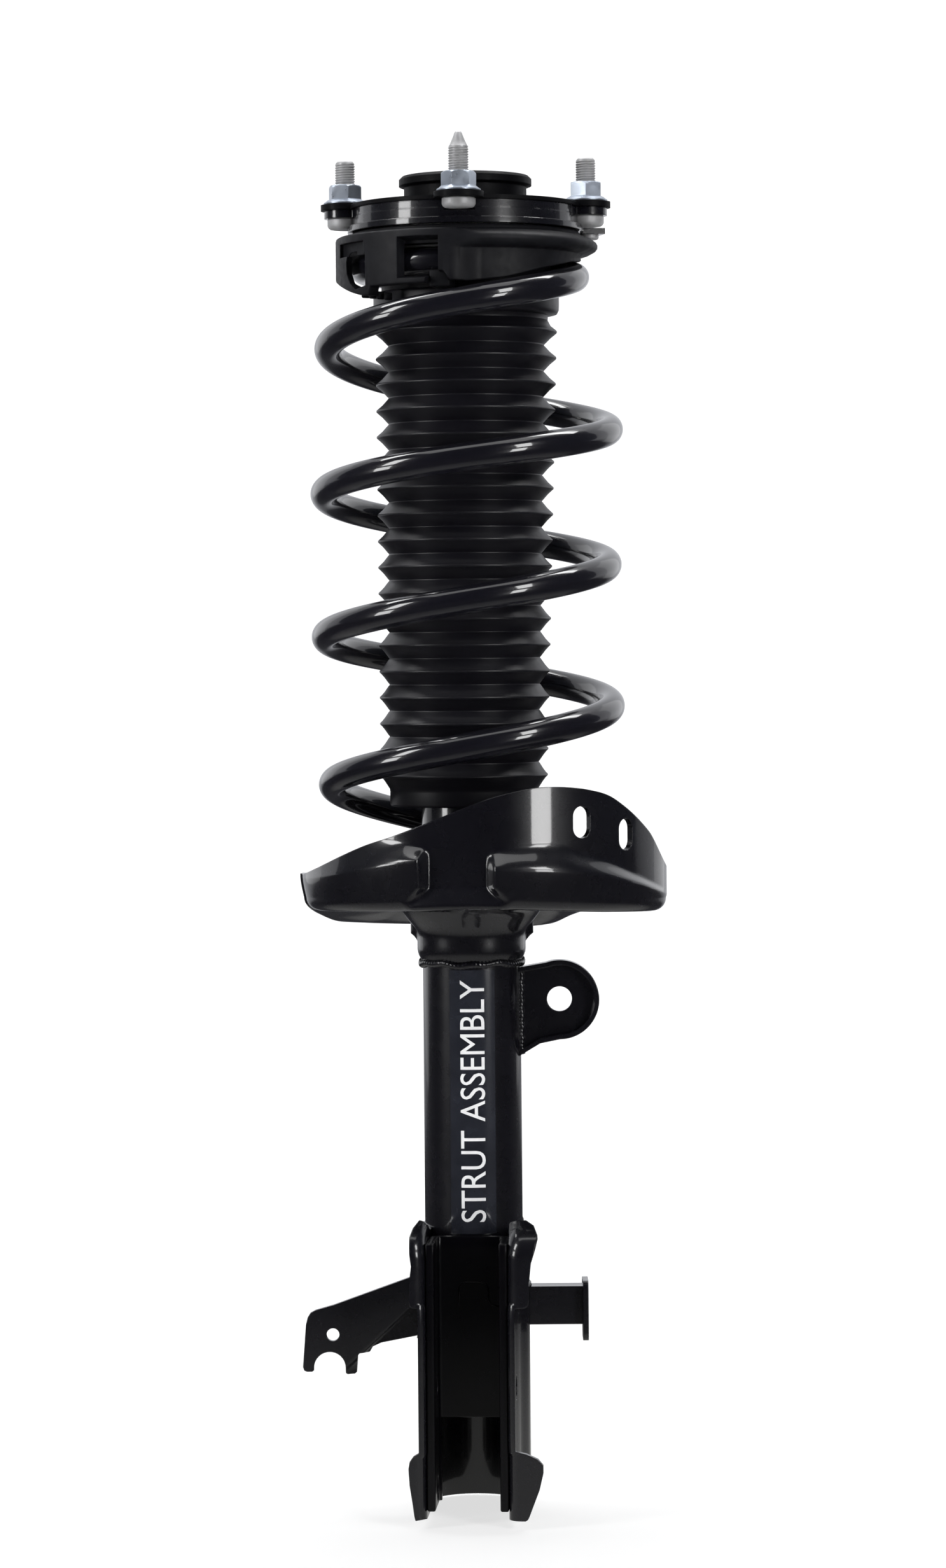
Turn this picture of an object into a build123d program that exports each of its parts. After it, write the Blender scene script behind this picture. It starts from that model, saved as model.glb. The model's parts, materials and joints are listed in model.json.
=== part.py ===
"""MacPherson strut assembly, millimetres, +Z up.

Origin: on the damper axis, at the seating plane of the top mount (the face the four nuts rest on).
-Y is the front of the strut: the pointed pilot stud and the open side of the knuckle bracket face it.
"""
import os
from math import cos, radians, sin, sqrt

from build123d import *

os.makedirs("parts", exist_ok=True)


def save(part, name):
    """Labels one finished piece and writes its file."""
    part.label = name
    export_step(part, "parts/" + name + ".step")


def polar(radius, degrees_around):
    """A point on a circle about the damper axis."""
    return (radius * cos(radians(degrees_around)), radius * sin(radians(degrees_around)))


def hermite(stations, at):
    """A smooth value at one turn angle, from hand-set (angle, value) stations."""
    for n in range(len(stations) - 1):
        if at <= stations[n + 1][0]:
            break
    (a0, v0), (a1, v1) = stations[n], stations[n + 1]
    before = stations[max(n - 1, 0)]
    after = stations[min(n + 2, len(stations) - 1)]
    m0 = (v1 - before[1]) / (a1 - before[0])
    m1 = (after[1] - v0) / (after[0] - a0)
    span = a1 - a0
    s = (at - a0) / span
    return (
        (2 * s**3 - 3 * s**2 + 1) * v0
        + (s**3 - 2 * s**2 + s) * span * m0
        + (3 * s**2 - 2 * s**3) * v1
        + (s**3 - s**2) * span * m1
    )


def half_plane(centre_x, angle):
    """A vertical sketch plane through the line x = centre_x: local x points outwards, local y up."""
    return Plane(
        origin=(centre_x, 0, 0),
        x_dir=(cos(radians(angle)), sin(radians(angle)), 0),
        z_dir=(sin(radians(angle)), -cos(radians(angle)), 0),
    )


# ---------------------------------------------------------------- driving dimensions
# top mount
STUD_PCD = 121.0
STUD_COUNT = 4
STUD_R = 5.0  # M10
STUD_KNURL_R = 5.3  # pressed into the plates
STUD_ROOT_R = 4.6  # inside a nut
PILOT_ANGLE = -93.0
STUD_TIP_Z = 22.0
STUD_CHAMFER = 1.2
PILOT_CONE_Z = 22.5
PILOT_TIP_Z = 29.5
PILOT_TIP_R = 1.5
PILOT_CONE_R = 4.4
STUD_HEAD_R = 9.0
STUD_HEAD_H = 5.4
PILOT_HEAD_R = 8.3
PILOT_HEAD_H = 5.0
HEAD_ROUND = 1.6
HEAD_CLEAR = 0.5
NUT_AF = 15.0
NUT_H = 10.0
NUT_FLANGE_R = 10.9
NUT_FLANGE_H = 2.2
UPPER_PLATE_T = 3.0
LOWER_PLATE_T = 4.0
PLATE_R = 58.0
LOWER_PLATE_R = 57.0
UPPER_LOBE_R = 12.3
LOWER_LOBE_R = 10.6
BOSS_H = 0.9
CROWN_NECK_R = 30.75
CROWN_RIM_R = 33.3
CROWN_BORE_R = 26.0
SEAT_RING_INNER_R = 33.8
SEAT_RING_OUTER_R = 41.0
CROWN_TOP_Z = 13.4
CROWN_RIM_Z = 7.7
CROWN_EDGE = 1.5
CROWN_UNDERCUT = 1.0
CUP_R = 57.2
CUP_BEAD_R = 59.2
CUP_WALL = 3.0
CUP_BOTTOM_Z = -14.7
CUP_FLANGE_T = 3.0
CUP_BORE_R = 30.0
CORE_R = 24.0
CORE_TOP_Z = -3.0
CORE_BOTTOM_Z = -11.0
RUBBER_R = 47.0
RUBBER_GROOVE_OUTER_R = 38.0
RUBBER_GROOVE_INNER_R = 30.0
RUBBER_GROOVE_DEPTH = 3.0
RUBBER_GROOVE_TAPER = 2.0
TAB_ANGLE = 14.3
TAB_REACH = 71.0
TAB_WIDTH = 13.0
TAB_PIN_R = 4.8
TAB_PIN_DROP = 2.5
TAB_PIN_ROUND = 1.2

# damper rod and piston
ROD_R = 11.0
ROD_STUD_R = 7.0
ROD_SHOULDER_Z = -14.0
ROD_TOP_Z = 9.5
ROD_TAIL_R = 6.0
ROD_TAIL_Z = -292.0
ROD_END_Z = -337.0
ROD_CHAMFER = 1.0
ROD_HEX_R = 3.4
ROD_HEX_DEPTH = 6.0
ROD_NUT_AF = 21.0
ROD_NUT_H = 10.0
ROD_NUT_COLLAR = 1.5
WASHER_R = 20.0
WASHER_T = 3.0
REBOUND_TOP_Z = -258.0
REBOUND_H = 10.0
REBOUND_R = 15.0
REBOUND_CHAMFER = 1.0
PISTON_R = 15.4
PISTON_TOP_Z = -296.0
PISTON_H = 24.0
PISTON_BAND_R = 15.95
BAND_INSET = 1.2
BAND_H = 12.0
DISC_T = 2.5
DISC_R = 13.0
PISTON_NUT_AF = 18.0
PISTON_NUT_H = 9.0
PORT_R = 1.5
PORT_COUNT = 6
PISTON_PORT_CIRCLE_R = 10.5
FOOT_PORT_CIRCLE_R = 10.0
FOOT_SLOT_R = 2.5
FOOT_SLOT_COUNT = 4
BUMP_TOP_Z = -14.6
BUMP_H = 70.4
# waists of the bump stop between top and bottom: (radius, distance below its top)
BUMP_OUTLINE = [
    (26.0, 0.0),
    (26.0, 18.0),
    (20.0, 22.0),
    (24.0, 29.0),
    (23.0, 36.0),
    (17.0, 41.0),
    (21.0, 48.0),
    (19.0, 55.0),
    (15.0, 60.0),
    (17.0, 70.4),
    (14.0, 70.4),
]
BUMP_BORE_FLARE = 8.0

# bearing
BALL_COUNT = 28
BALL_R = 2.2
BALL_CIRCLE_R = 42.0
BALL_Z = -18.45
RACE_INNER_R = 36.5
RACE_OUTER_R = 48.0
RACE_T = 2.5
GROOVE_CLEAR = 0.03
CAGE_T = 1.4
CAGE_CLEAR = 0.15
CAGE_LAND = 1.8

# upper spring seat
SEAT_R = 65.3
SEAT_RIM_TOP_Z = -15.2
SEAT_RECESS_R = 52.0
SEAT_STEP_R = 57.3
SEAT_STEP_Z = -17.6
SEAT_FLOOR_TOP_Z = -22.2
SEAT_FLOOR_T = 2.0
SEAT_BORE_R = 34.0
SEAT_CORNER = 2.0
SEAT_SKIRT_T = 3.2
SEAT_SKIRT_LOW_Z = -51.3
SEAT_SKIRT_HIGH_Z = -31.0
SLEEVE_R = 42.5
SLEEVE_T = 2.0
SLEEVE_BOTTOM_Z = -54.0
WINDOW_CENTRE = -112.5
WINDOW_WIDTH = 22.0
WINDOW_TOP_Z = -20.5
WINDOW_BOTTOM_Z = -41.3
ISOLATOR_T = 1.5
ISOLATOR_INNER_R = 43.4
ISOLATOR_OUTER_R = 59.5

# coil spring: turn angle 0 is the lowest bulge on the left side
WIRE_R = 7.0
SPRING_HEIGHTS = [
    (-460, -353.6),
    (-405, -347.4),
    (-360, -342.6),
    (-315, -339.1),
    (-270, -338.9),
    (-225, -338.8),
    (-180, -336.5),
    (-135, -328.5),
    (-90, -316.5),
    (0, -291.4),
    (180, -252.1),
    (360, -217.3),
    (540, -181.2),
    (720, -145.7),
    (900, -113.5),
    (1080, -72.8),
    (1170, -53.5),
    (1260, -37.0),
    (1350, -33.0),
    (1430, -33.0),
    (1520, -33.0),
]
SPRING_RADII = [
    (-460, 69.5),
    (0, 69.0),
    (180, 71.0),
    (360, 72.0),
    (540, 70.0),
    (720, 72.0),
    (900, 71.2),
    (1080, 69.5),
    (1170, 66.5),
    (1260, 54.5),
    (1350, 51.4),
    (1520, 51.4),
]
SPRING_STEP = 30

# dust boot
BOOT_FOLDS = 18
BOOT_FIRST_TIP_Z = -64.9
BOOT_PITCH = 13.05
BOOT_TIP_R_TOP = 45.6
BOOT_TIP_R_BOTTOM = 42.0
BOOT_VALLEY_R_TOP = 39.2
BOOT_VALLEY_R_BOTTOM = 37.4
BOOT_WALL = 1.8
BOOT_CUFF_R_TOP = 46.6
BOOT_TOP_Z = -45.0
BOOT_CUFF_TOP_END_Z = -55.5
BOOT_LIP_Z = -52.0
BOOT_CUFF_R_BOTTOM = 37.2
BOOT_BOTTOM_Z = -302.0
BOOT_LIP = 1.0

# damper tube
TUBE_R = 24.5
TUBE_WALL = 2.5
TUBE_TOP_Z = -216.0
TUBE_BOTTOM_Z = -605.0
TUBE_LIP_R = 14.0
TUBE_LIP_T = 2.5
BASE_CAP_T = 5.0
BASE_CAP_DISH_R = 17.0
BASE_CAP_DISH = 2.5
CYLINDER_R = 18.0
CYLINDER_BORE_R = 16.0
CYLINDER_TOP_Z = -250.0
CYLINDER_BOTTOM_Z = -590.0
SPIGOT_R = 15.95
SPIGOT_H = 6.0
GUIDE_TOP_Z = -226.0
GUIDE_BORE_R = 11.05
SEAL_TOP_Z = -218.5
SEAL_LIP_DROP = 3.0
SEAL_LIP_W = 2.0
CAP_R = 26.4
CAP_T = 2.0
CAP_SKIRT_Z = -234.0
CAP_BORE_R = 13.0
CAP_EDGE = 1.0

# lower spring seat
PAN_R = 92.0
PAN_CENTRE_X = 6.2
PAN_T = 3.0
PAN_FLOOR_Z = -349.0
PAN_FLOOR_R = 83.0
PAN_TAPER_Z = -343.0
PAN_SHOULDER_Z = -331.0
PAN_NECKING_Z = -319.0
PAN_UPPER_R = 85.5
PAN_WALL_Z = -289.0
PAN_BACK_WALL_Z = -337.0
PAN_EDGE = [
    (-96.0, -338.5),
    (-84.0, -331.0),
    (-62.0, -319.5),
    (-46.0, -313.7),
    (0.0, -297.0),
    (22.0, -291.8),
    (39.0, -290.6),
    (56.0, -292.4),
    (69.0, -297.5),
    (84.0, -313.7),
    (92.0, -332.0),
    (96.0, -338.0),
]
PANEL_LEFT_X = -30.0
PANEL_RIGHT_X = 2.4
PANEL_DEPTH = 7.5
PANEL_TOP_Z = -319.0
SLOT_W = 10.5
SLOT_H = 15.6
SLOTS = [(-56.0, -308.0), (-37.5, -314.8)]
NECK_TOP_R = 34.0
NECK_COLLAR_R = 27.2
NECK_COLLAR_TOP_Z = -365.5
NECK_COLLAR_END_Z = -375.0
NECK_LIP_R = 25.6
NECK_LIP_Z = -379.0
NECK_BOTTOM_Z = -381.0
SADDLE_R = 31.3
SADDLE_BOTTOM_Z = -369.0
SADDLE_EDGE_W = 3.0
SADDLE_EDGE_H = 4.0
PAD_INNER_R = 62.0
PAD_OUTER_R = 76.5
PAD_T = 2.6
PAD_START = -134.0
PAD_ARC = 142.0
TROUGH_START = 62.0
TROUGH_ARC = 127.0
TROUGH_END_WALL = 3.0
TROUGH_INNER_R = 50.0
TROUGH_OUTER_R = 85.5
TROUGH_BOTTOM_Z = -366.0
TROUGH_CORNER = 6.0

# knuckle bracket, turned about the tube
BRACKET_TURN = -4.0
BRACKET_T = 3.2
BRACKET_INNER_T = 4.2
BRACKET_TOP_Z = -507.0
BRACKET_BOTTOM_Z = -649.2
BRACKET_HALF_W = 23.3
BRACKET_FRONT = 58.0
NECKING_START = 7.0
NECKING_END = 17.0
INNER_TOP_Z = -514.5
INNER_BOTTOM_Z = -645.5
WEB_TOP_Z = -518.0
WEB_BOTTOM_Z = -604.0
WEB_BACK = 24.7
FLARE_LEFT = 28.4
FLARE_RIGHT = 35.2
UPPER_FLARE_BOTTOM_Z = -546.0
LOWER_FLARE_TOP_Z = -617.0
FLARE_ROUND = 8.0
FLARE_FOOT = 2.0
KNUCKLE_BOLT_R = 6.25
KNUCKLE_BOLT_Y = -42.0
UPPER_BOLT_Z = -587.0
LOWER_BOLT_Z = -637.0
PAD_POCKET = 1.0
POCKET_TOP_Z = -561.0
POCKET_BOTTOM_Z = -614.0
POCKET_BACK = 24.0
POCKET_FRONT = 54.0

# small brackets
LINK_X = 43.9
LINK_Z = -399.4
LINK_HOLE_R = 6.25
LINK_R = 19.8
LINK_DEPTH = 9.0
LINK_BACK_Y = 1.5
LINK_T = 3.0
LINK_RIM = 2.5
LINK_SHOULDER = 4.0
LINK_FOOT = 10.0
LINK_WAIST = 2.0
HOSE_T = 3.0
HOSE_BACK_Y = -8.0
HOSE_HOLE = (-70.9, -565.5)
HOSE_HOLE_R = 3.2
HOSE_EDGE_TOP = [(-26.0, -537.0), (-33.7, -539.6), (-70.8, -552.7), (-81.3, -555.8)]
HOSE_EDGE_LEFT = [(-84.5, -560.0), (-86.6, -585.6), (-80.8, -585.6)]
HOSE_EDGE_RIGHT = [(-65.0, -587.4), (-59.3, -587.4), (-58.6, -577.0), (-52.6, -576.0)]
HOSE_EDGE_LOW = [(-51.0, -573.0), (-46.8, -571.6), (-26.0, -570.4)]
NOTCH_LEFT_X = -80.8
NOTCH_RIGHT_X = -65.0
NOTCH_SIDE_Z = -584.5
NOTCH_R = 7.95
STUB_X = 54.2
STUB_TOP_Z = -543.0
STUB_BOTTOM_Z = -562.0
STUB_T = 2.5
STUB_DEPTH = 12.0
STUB_PLATE_T = 2.8
STUB_PLATE_TOP_Z = -540.0
STUB_PLATE_BOTTOM_Z = -570.0
STUB_PLATE_W = 22.0
STUB_HOLE_R = 3.25
STUB_HOLE_Z = -555.0
STUB_PLATE_CORNER = 4.0
LABEL_W = 54.0
LABEL_T = 0.2
LABEL_TOP_Z = -383.0
LABEL_BOTTOM_Z = -514.0

# ---------------------------------------------------------------- shared values
STUD_CIRCLE_R = STUD_PCD / 2
STUD_ANGLES = [PILOT_ANGLE + n * 360 / STUD_COUNT for n in range(STUD_COUNT)]
PILOT_POINT = polar(STUD_CIRCLE_R, STUD_ANGLES[0])
STUD_POINTS = [polar(STUD_CIRCLE_R, angle) for angle in STUD_ANGLES[1:]]
ALL_STUDS = [PILOT_POINT] + STUD_POINTS
LOWER_PLATE_TOP_Z = -UPPER_PLATE_T
LOWER_PLATE_BOTTOM_Z = LOWER_PLATE_TOP_Z - LOWER_PLATE_T
HEX_R = NUT_AF / sqrt(3)
OVERSHOOT = 5.0  # how far a cutting shape runs past what it cuts

# ---------------------------------------------------------------- top mount
with BuildPart() as mount_upper_plate:
    with BuildSketch(Plane.XY.offset(-UPPER_PLATE_T)):
        Circle(PLATE_R)
        for point in ALL_STUDS:
            with Locations(point):
                Circle(UPPER_LOBE_R)
        Circle(CROWN_BORE_R, mode=Mode.SUBTRACT)
        for point in ALL_STUDS:
            with Locations(point):
                Circle(STUD_KNURL_R, mode=Mode.SUBTRACT)
    extrude(amount=UPPER_PLATE_T - BOSS_H)
    with BuildSketch(Plane.XY.offset(-BOSS_H)):
        Circle(SEAT_RING_OUTER_R)
        Circle(SEAT_RING_INNER_R, mode=Mode.SUBTRACT)
        for point in ALL_STUDS:
            with Locations(point):
                Circle(UPPER_LOBE_R)
                Circle(STUD_KNURL_R, mode=Mode.SUBTRACT)
    extrude(amount=BOSS_H)
save(mount_upper_plate.part, "mount_upper_plate")

with BuildPart() as mount_lower_plate:
    with BuildSketch(Plane.XY.offset(LOWER_PLATE_BOTTOM_Z)):
        Circle(LOWER_PLATE_R)
        for point in STUD_POINTS:
            with Locations(point):
                Circle(LOWER_LOBE_R)
                Circle(STUD_KNURL_R, mode=Mode.SUBTRACT)
        Circle(CUP_R - CUP_WALL, mode=Mode.SUBTRACT)
    extrude(amount=LOWER_PLATE_T)
    with BuildSketch(Plane.XY.offset(CUP_BOTTOM_Z)):
        Circle(CUP_R)
        Circle(CUP_R - CUP_WALL, mode=Mode.SUBTRACT)
    extrude(amount=LOWER_PLATE_BOTTOM_Z - CUP_BOTTOM_Z)
    with BuildSketch(Plane.XY.offset(CUP_BOTTOM_Z)):
        Circle(CUP_BEAD_R)
        Circle(CUP_BORE_R, mode=Mode.SUBTRACT)
        with Locations(Location((0, 0), TAB_ANGLE)):
            Rectangle(TAB_REACH, TAB_WIDTH, align=(Align.MIN, Align.CENTER))
        Circle(CUP_BORE_R, mode=Mode.SUBTRACT)
        with Locations(polar(TAB_REACH - TAB_WIDTH / 2, TAB_ANGLE)):
            Circle(TAB_PIN_R / 2, mode=Mode.SUBTRACT)
    extrude(amount=CUP_FLANGE_T)
    with BuildSketch(Plane.XY.offset(LOWER_PLATE_BOTTOM_Z)):
        for point in STUD_POINTS:
            with Locations(point):
                Circle(STUD_HEAD_R + HEAD_CLEAR)
    extrude(amount=-STUD_HEAD_H - HEAD_CLEAR, mode=Mode.SUBTRACT)
    with BuildSketch(Plane.XY.offset(LOWER_PLATE_TOP_Z)):
        with Locations(PILOT_POINT):
            Circle(PILOT_HEAD_R + HEAD_CLEAR)
    extrude(amount=-PILOT_HEAD_H - HEAD_CLEAR, mode=Mode.SUBTRACT)
save(mount_lower_plate.part, "mount_lower_plate")

with BuildPart() as mount_crown:
    with BuildSketch(Plane.XZ):
        with BuildLine():
            Polyline(
                (CROWN_BORE_R, -BOSS_H),
                (CROWN_NECK_R, -BOSS_H),
                (CROWN_NECK_R, CROWN_RIM_Z),
                (CROWN_RIM_R, CROWN_RIM_Z + CROWN_UNDERCUT),
                (CROWN_RIM_R, CROWN_TOP_Z - CROWN_EDGE),
                (CROWN_RIM_R - CROWN_EDGE, CROWN_TOP_Z),
                (CROWN_BORE_R, CROWN_TOP_Z),
                close=True,
            )
        make_face()
    revolve(axis=Axis.Z)
save(mount_crown.part, "mount_crown")

with BuildPart() as mount_rubber:
    with BuildSketch(Plane.XZ):
        with BuildLine():
            Polyline(
                (CORE_R, CORE_TOP_Z),
                (CORE_R, CORE_BOTTOM_Z),
                (CUP_BORE_R, CUP_BOTTOM_Z + CUP_FLANGE_T),
                (RUBBER_R, CUP_BOTTOM_Z + CUP_FLANGE_T),
                (RUBBER_R, CORE_TOP_Z),
                (RUBBER_GROOVE_OUTER_R, CORE_TOP_Z),
                (RUBBER_GROOVE_OUTER_R - RUBBER_GROOVE_TAPER, CORE_TOP_Z - RUBBER_GROOVE_DEPTH),
                (RUBBER_GROOVE_INNER_R + RUBBER_GROOVE_TAPER, CORE_TOP_Z - RUBBER_GROOVE_DEPTH),
                (RUBBER_GROOVE_INNER_R, CORE_TOP_Z),
                close=True,
            )
        make_face()
    revolve(axis=Axis.Z)
save(mount_rubber.part, "mount_rubber")

with BuildPart() as mount_core:
    with BuildSketch(Plane.XY.offset(CORE_BOTTOM_Z)):
        Circle(CORE_R)
        Circle(ROD_STUD_R, mode=Mode.SUBTRACT)
    extrude(amount=CORE_TOP_Z - CORE_BOTTOM_Z)
save(mount_core.part, "mount_core")

with BuildPart() as mount_studs:
    with BuildSketch(Plane.XY.offset(LOWER_PLATE_BOTTOM_Z - STUD_HEAD_H)):
        with Locations(*STUD_POINTS):
            Circle(STUD_HEAD_R)
    extrude(amount=STUD_HEAD_H)
    fillet(mount_studs.edges().group_by(Axis.Z)[0], radius=HEAD_ROUND)
    for radius, foot, top in (
        (STUD_KNURL_R, LOWER_PLATE_BOTTOM_Z, 0),
        (STUD_ROOT_R, 0, NUT_H),
        (STUD_R, NUT_H, STUD_TIP_Z),
    ):
        with BuildSketch(Plane.XY.offset(foot)):
            with Locations(*STUD_POINTS):
                Circle(radius)
        extrude(amount=top - foot)
    chamfer(mount_studs.edges().group_by(Axis.Z)[-1], length=STUD_CHAMFER)
save(mount_studs.part, "mount_studs")

with BuildPart() as pilot_stud:
    with BuildSketch(Plane.XY.offset(LOWER_PLATE_TOP_Z - PILOT_HEAD_H)):
        with Locations(PILOT_POINT):
            Circle(PILOT_HEAD_R)
    extrude(amount=PILOT_HEAD_H)
    fillet(pilot_stud.edges().group_by(Axis.Z)[0], radius=HEAD_ROUND)
    for radius, foot, top in (
        (STUD_KNURL_R, LOWER_PLATE_TOP_Z, 0),
        (STUD_ROOT_R, 0, NUT_H),
        (STUD_R, NUT_H, PILOT_CONE_Z),
    ):
        with BuildSketch(Plane.XY.offset(foot)):
            with Locations(PILOT_POINT):
                Circle(radius)
        extrude(amount=top - foot)
    with BuildSketch(Plane.XY.offset(PILOT_CONE_Z)):
        with Locations(PILOT_POINT):
            Circle(PILOT_CONE_R)
    with BuildSketch(Plane.XY.offset(PILOT_TIP_Z)):
        with Locations(PILOT_POINT):
            Circle(PILOT_TIP_R)
    loft()
save(pilot_stud.part, "pilot_stud")

with BuildPart() as flange_nuts:
    with BuildSketch(Plane.XY):
        with Locations(*ALL_STUDS):
            Circle(NUT_FLANGE_R)
    extrude(amount=NUT_FLANGE_H)
    with BuildSketch(Plane.XY.offset(NUT_FLANGE_H)):
        with Locations(*ALL_STUDS):
            RegularPolygon(HEX_R, 6)
    extrude(amount=NUT_H - NUT_FLANGE_H)
    with BuildSketch(Plane.XY):
        with Locations(*ALL_STUDS):
            Circle(STUD_ROOT_R)
    extrude(amount=NUT_H, mode=Mode.SUBTRACT)
save(flange_nuts.part, "flange_nuts")

with BuildPart() as tab_pin:
    with BuildSketch(Plane.XY.offset(CUP_BOTTOM_Z - TAB_PIN_DROP)):
        with Locations(polar(TAB_REACH - TAB_WIDTH / 2, TAB_ANGLE)):
            Circle(TAB_PIN_R)
    extrude(amount=TAB_PIN_DROP)
    fillet(tab_pin.edges().group_by(Axis.Z)[0], radius=TAB_PIN_ROUND)
    with BuildSketch(Plane.XY.offset(CUP_BOTTOM_Z)):
        with Locations(polar(TAB_REACH - TAB_WIDTH / 2, TAB_ANGLE)):
            Circle(TAB_PIN_R / 2)
    extrude(amount=CUP_FLANGE_T)
save(tab_pin.part, "tab_pin")

# ---------------------------------------------------------------- rod and piston
with BuildPart() as piston_rod:
    with BuildSketch(Plane.XZ):
        with BuildLine():
            Polyline(
                (0, ROD_END_Z),
                (ROD_TAIL_R - ROD_CHAMFER, ROD_END_Z),
                (ROD_TAIL_R, ROD_END_Z + ROD_CHAMFER),
                (ROD_TAIL_R, ROD_TAIL_Z),
                (ROD_R - ROD_CHAMFER, ROD_TAIL_Z),
                (ROD_R, ROD_TAIL_Z + ROD_CHAMFER),
                (ROD_R, ROD_SHOULDER_Z - ROD_CHAMFER),
                (ROD_R - ROD_CHAMFER, ROD_SHOULDER_Z),
                (ROD_STUD_R, ROD_SHOULDER_Z),
                (ROD_STUD_R, ROD_TOP_Z - ROD_CHAMFER),
                (ROD_STUD_R - ROD_CHAMFER, ROD_TOP_Z),
                (0, ROD_TOP_Z),
                close=True,
            )
        make_face()
    revolve(axis=Axis.Z)
    with BuildSketch(Plane.XY.offset(ROD_TOP_Z - ROD_HEX_DEPTH)):
        RegularPolygon(ROD_HEX_R, 6)
    extrude(amount=ROD_HEX_DEPTH, mode=Mode.SUBTRACT)
save(piston_rod.part, "piston_rod")

with BuildPart() as rod_washer:
    with BuildSketch(Plane.XY.offset(ROD_SHOULDER_Z)):
        Circle(WASHER_R)
        Circle(ROD_STUD_R, mode=Mode.SUBTRACT)
    extrude(amount=WASHER_T)
save(rod_washer.part, "rod_washer")

with BuildPart() as rod_top_nut:
    with BuildSketch(Plane.XY.offset(CORE_TOP_Z)):
        Circle(ROD_NUT_AF / sqrt(3) + ROD_NUT_COLLAR)
    extrude(amount=ROD_NUT_COLLAR)
    with BuildSketch(Plane.XY.offset(CORE_TOP_Z + ROD_NUT_COLLAR)):
        RegularPolygon(ROD_NUT_AF / sqrt(3), 6)
    extrude(amount=ROD_NUT_H - ROD_NUT_COLLAR)
    with BuildSketch(Plane.XY.offset(CORE_TOP_Z)):
        Circle(ROD_STUD_R)
    extrude(amount=ROD_NUT_H, mode=Mode.SUBTRACT)
save(rod_top_nut.part, "rod_top_nut")

with BuildPart() as rebound_stop:
    with BuildSketch(Plane.XY.offset(REBOUND_TOP_Z - REBOUND_H)):
        Circle(REBOUND_R)
        Circle(ROD_R, mode=Mode.SUBTRACT)
    extrude(amount=REBOUND_H)
    outer_edges = rebound_stop.edges().filter_by(GeomType.CIRCLE).group_by(SortBy.RADIUS)[-1]
    chamfer(outer_edges, length=REBOUND_CHAMFER)
save(rebound_stop.part, "rebound_stop")

with BuildPart() as piston:
    with BuildSketch(Plane.XY.offset(PISTON_TOP_Z - PISTON_H)):
        Circle(PISTON_R)
        Circle(ROD_TAIL_R, mode=Mode.SUBTRACT)
        with PolarLocations(PISTON_PORT_CIRCLE_R, PORT_COUNT):
            Circle(PORT_R, mode=Mode.SUBTRACT)
    extrude(amount=PISTON_H)
    with BuildSketch(Plane.XY.offset(PISTON_TOP_Z - PISTON_H / 2 - BAND_H / 2)):
        Circle(PISTON_R)
        Circle(PISTON_R - BAND_INSET, mode=Mode.SUBTRACT)
    extrude(amount=BAND_H, mode=Mode.SUBTRACT)
save(piston.part, "piston")

with BuildPart() as piston_band:
    with BuildSketch(Plane.XY.offset(PISTON_TOP_Z - PISTON_H / 2 - BAND_H / 2)):
        Circle(PISTON_BAND_R)
        Circle(PISTON_R - BAND_INSET, mode=Mode.SUBTRACT)
    extrude(amount=BAND_H)
save(piston_band.part, "piston_band")

with BuildPart() as piston_valve_discs:
    with BuildSketch(Plane.XY.offset(PISTON_TOP_Z), Plane.XY.offset(PISTON_TOP_Z - PISTON_H - DISC_T)):
        Circle(DISC_R)
        Circle(ROD_TAIL_R, mode=Mode.SUBTRACT)
    extrude(amount=DISC_T)
save(piston_valve_discs.part, "piston_valve_discs")

with BuildPart() as piston_nut:
    with BuildSketch(Plane.XY.offset(PISTON_TOP_Z - PISTON_H - DISC_T - PISTON_NUT_H)):
        RegularPolygon(PISTON_NUT_AF / sqrt(3), 6)
        Circle(ROD_TAIL_R, mode=Mode.SUBTRACT)
    extrude(amount=PISTON_NUT_H)
save(piston_nut.part, "piston_nut")

with BuildPart() as bump_stop:
    with BuildSketch(Plane.XZ):
        with BuildLine():
            Polyline(
                (ROD_R, BUMP_TOP_Z),
                *[(radius, BUMP_TOP_Z - drop) for radius, drop in BUMP_OUTLINE],
                (ROD_R, BUMP_TOP_Z - BUMP_H + BUMP_BORE_FLARE),
                close=True,
            )
        make_face()
    revolve(axis=Axis.Z)
save(bump_stop.part, "bump_stop")

# ---------------------------------------------------------------- bearing
with BuildPart() as bearing_upper_race:
    with BuildSketch(Plane.XZ):
        with Locations(((RACE_INNER_R + RACE_OUTER_R) / 2, CUP_BOTTOM_Z - RACE_T / 2)):
            Rectangle(RACE_OUTER_R - RACE_INNER_R, RACE_T)
        with Locations((BALL_CIRCLE_R, BALL_Z)):
            Circle(BALL_R + GROOVE_CLEAR, mode=Mode.SUBTRACT)
    revolve(axis=Axis.Z)
save(bearing_upper_race.part, "bearing_upper_race")

with BuildPart() as bearing_lower_race:
    with BuildSketch(Plane.XZ):
        with Locations(((RACE_INNER_R + RACE_OUTER_R) / 2, SEAT_FLOOR_TOP_Z + RACE_T / 2)):
            Rectangle(RACE_OUTER_R - RACE_INNER_R, RACE_T)
        with Locations((BALL_CIRCLE_R, BALL_Z)):
            Circle(BALL_R + GROOVE_CLEAR, mode=Mode.SUBTRACT)
    revolve(axis=Axis.Z)
save(bearing_lower_race.part, "bearing_lower_race")

with BuildPart() as bearing_balls:
    for n in range(BALL_COUNT):
        x, y = polar(BALL_CIRCLE_R, n * 360 / BALL_COUNT)
        with Locations((x, y, BALL_Z)):
            Sphere(BALL_R)
save(bearing_balls.part, "bearing_balls")

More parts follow.
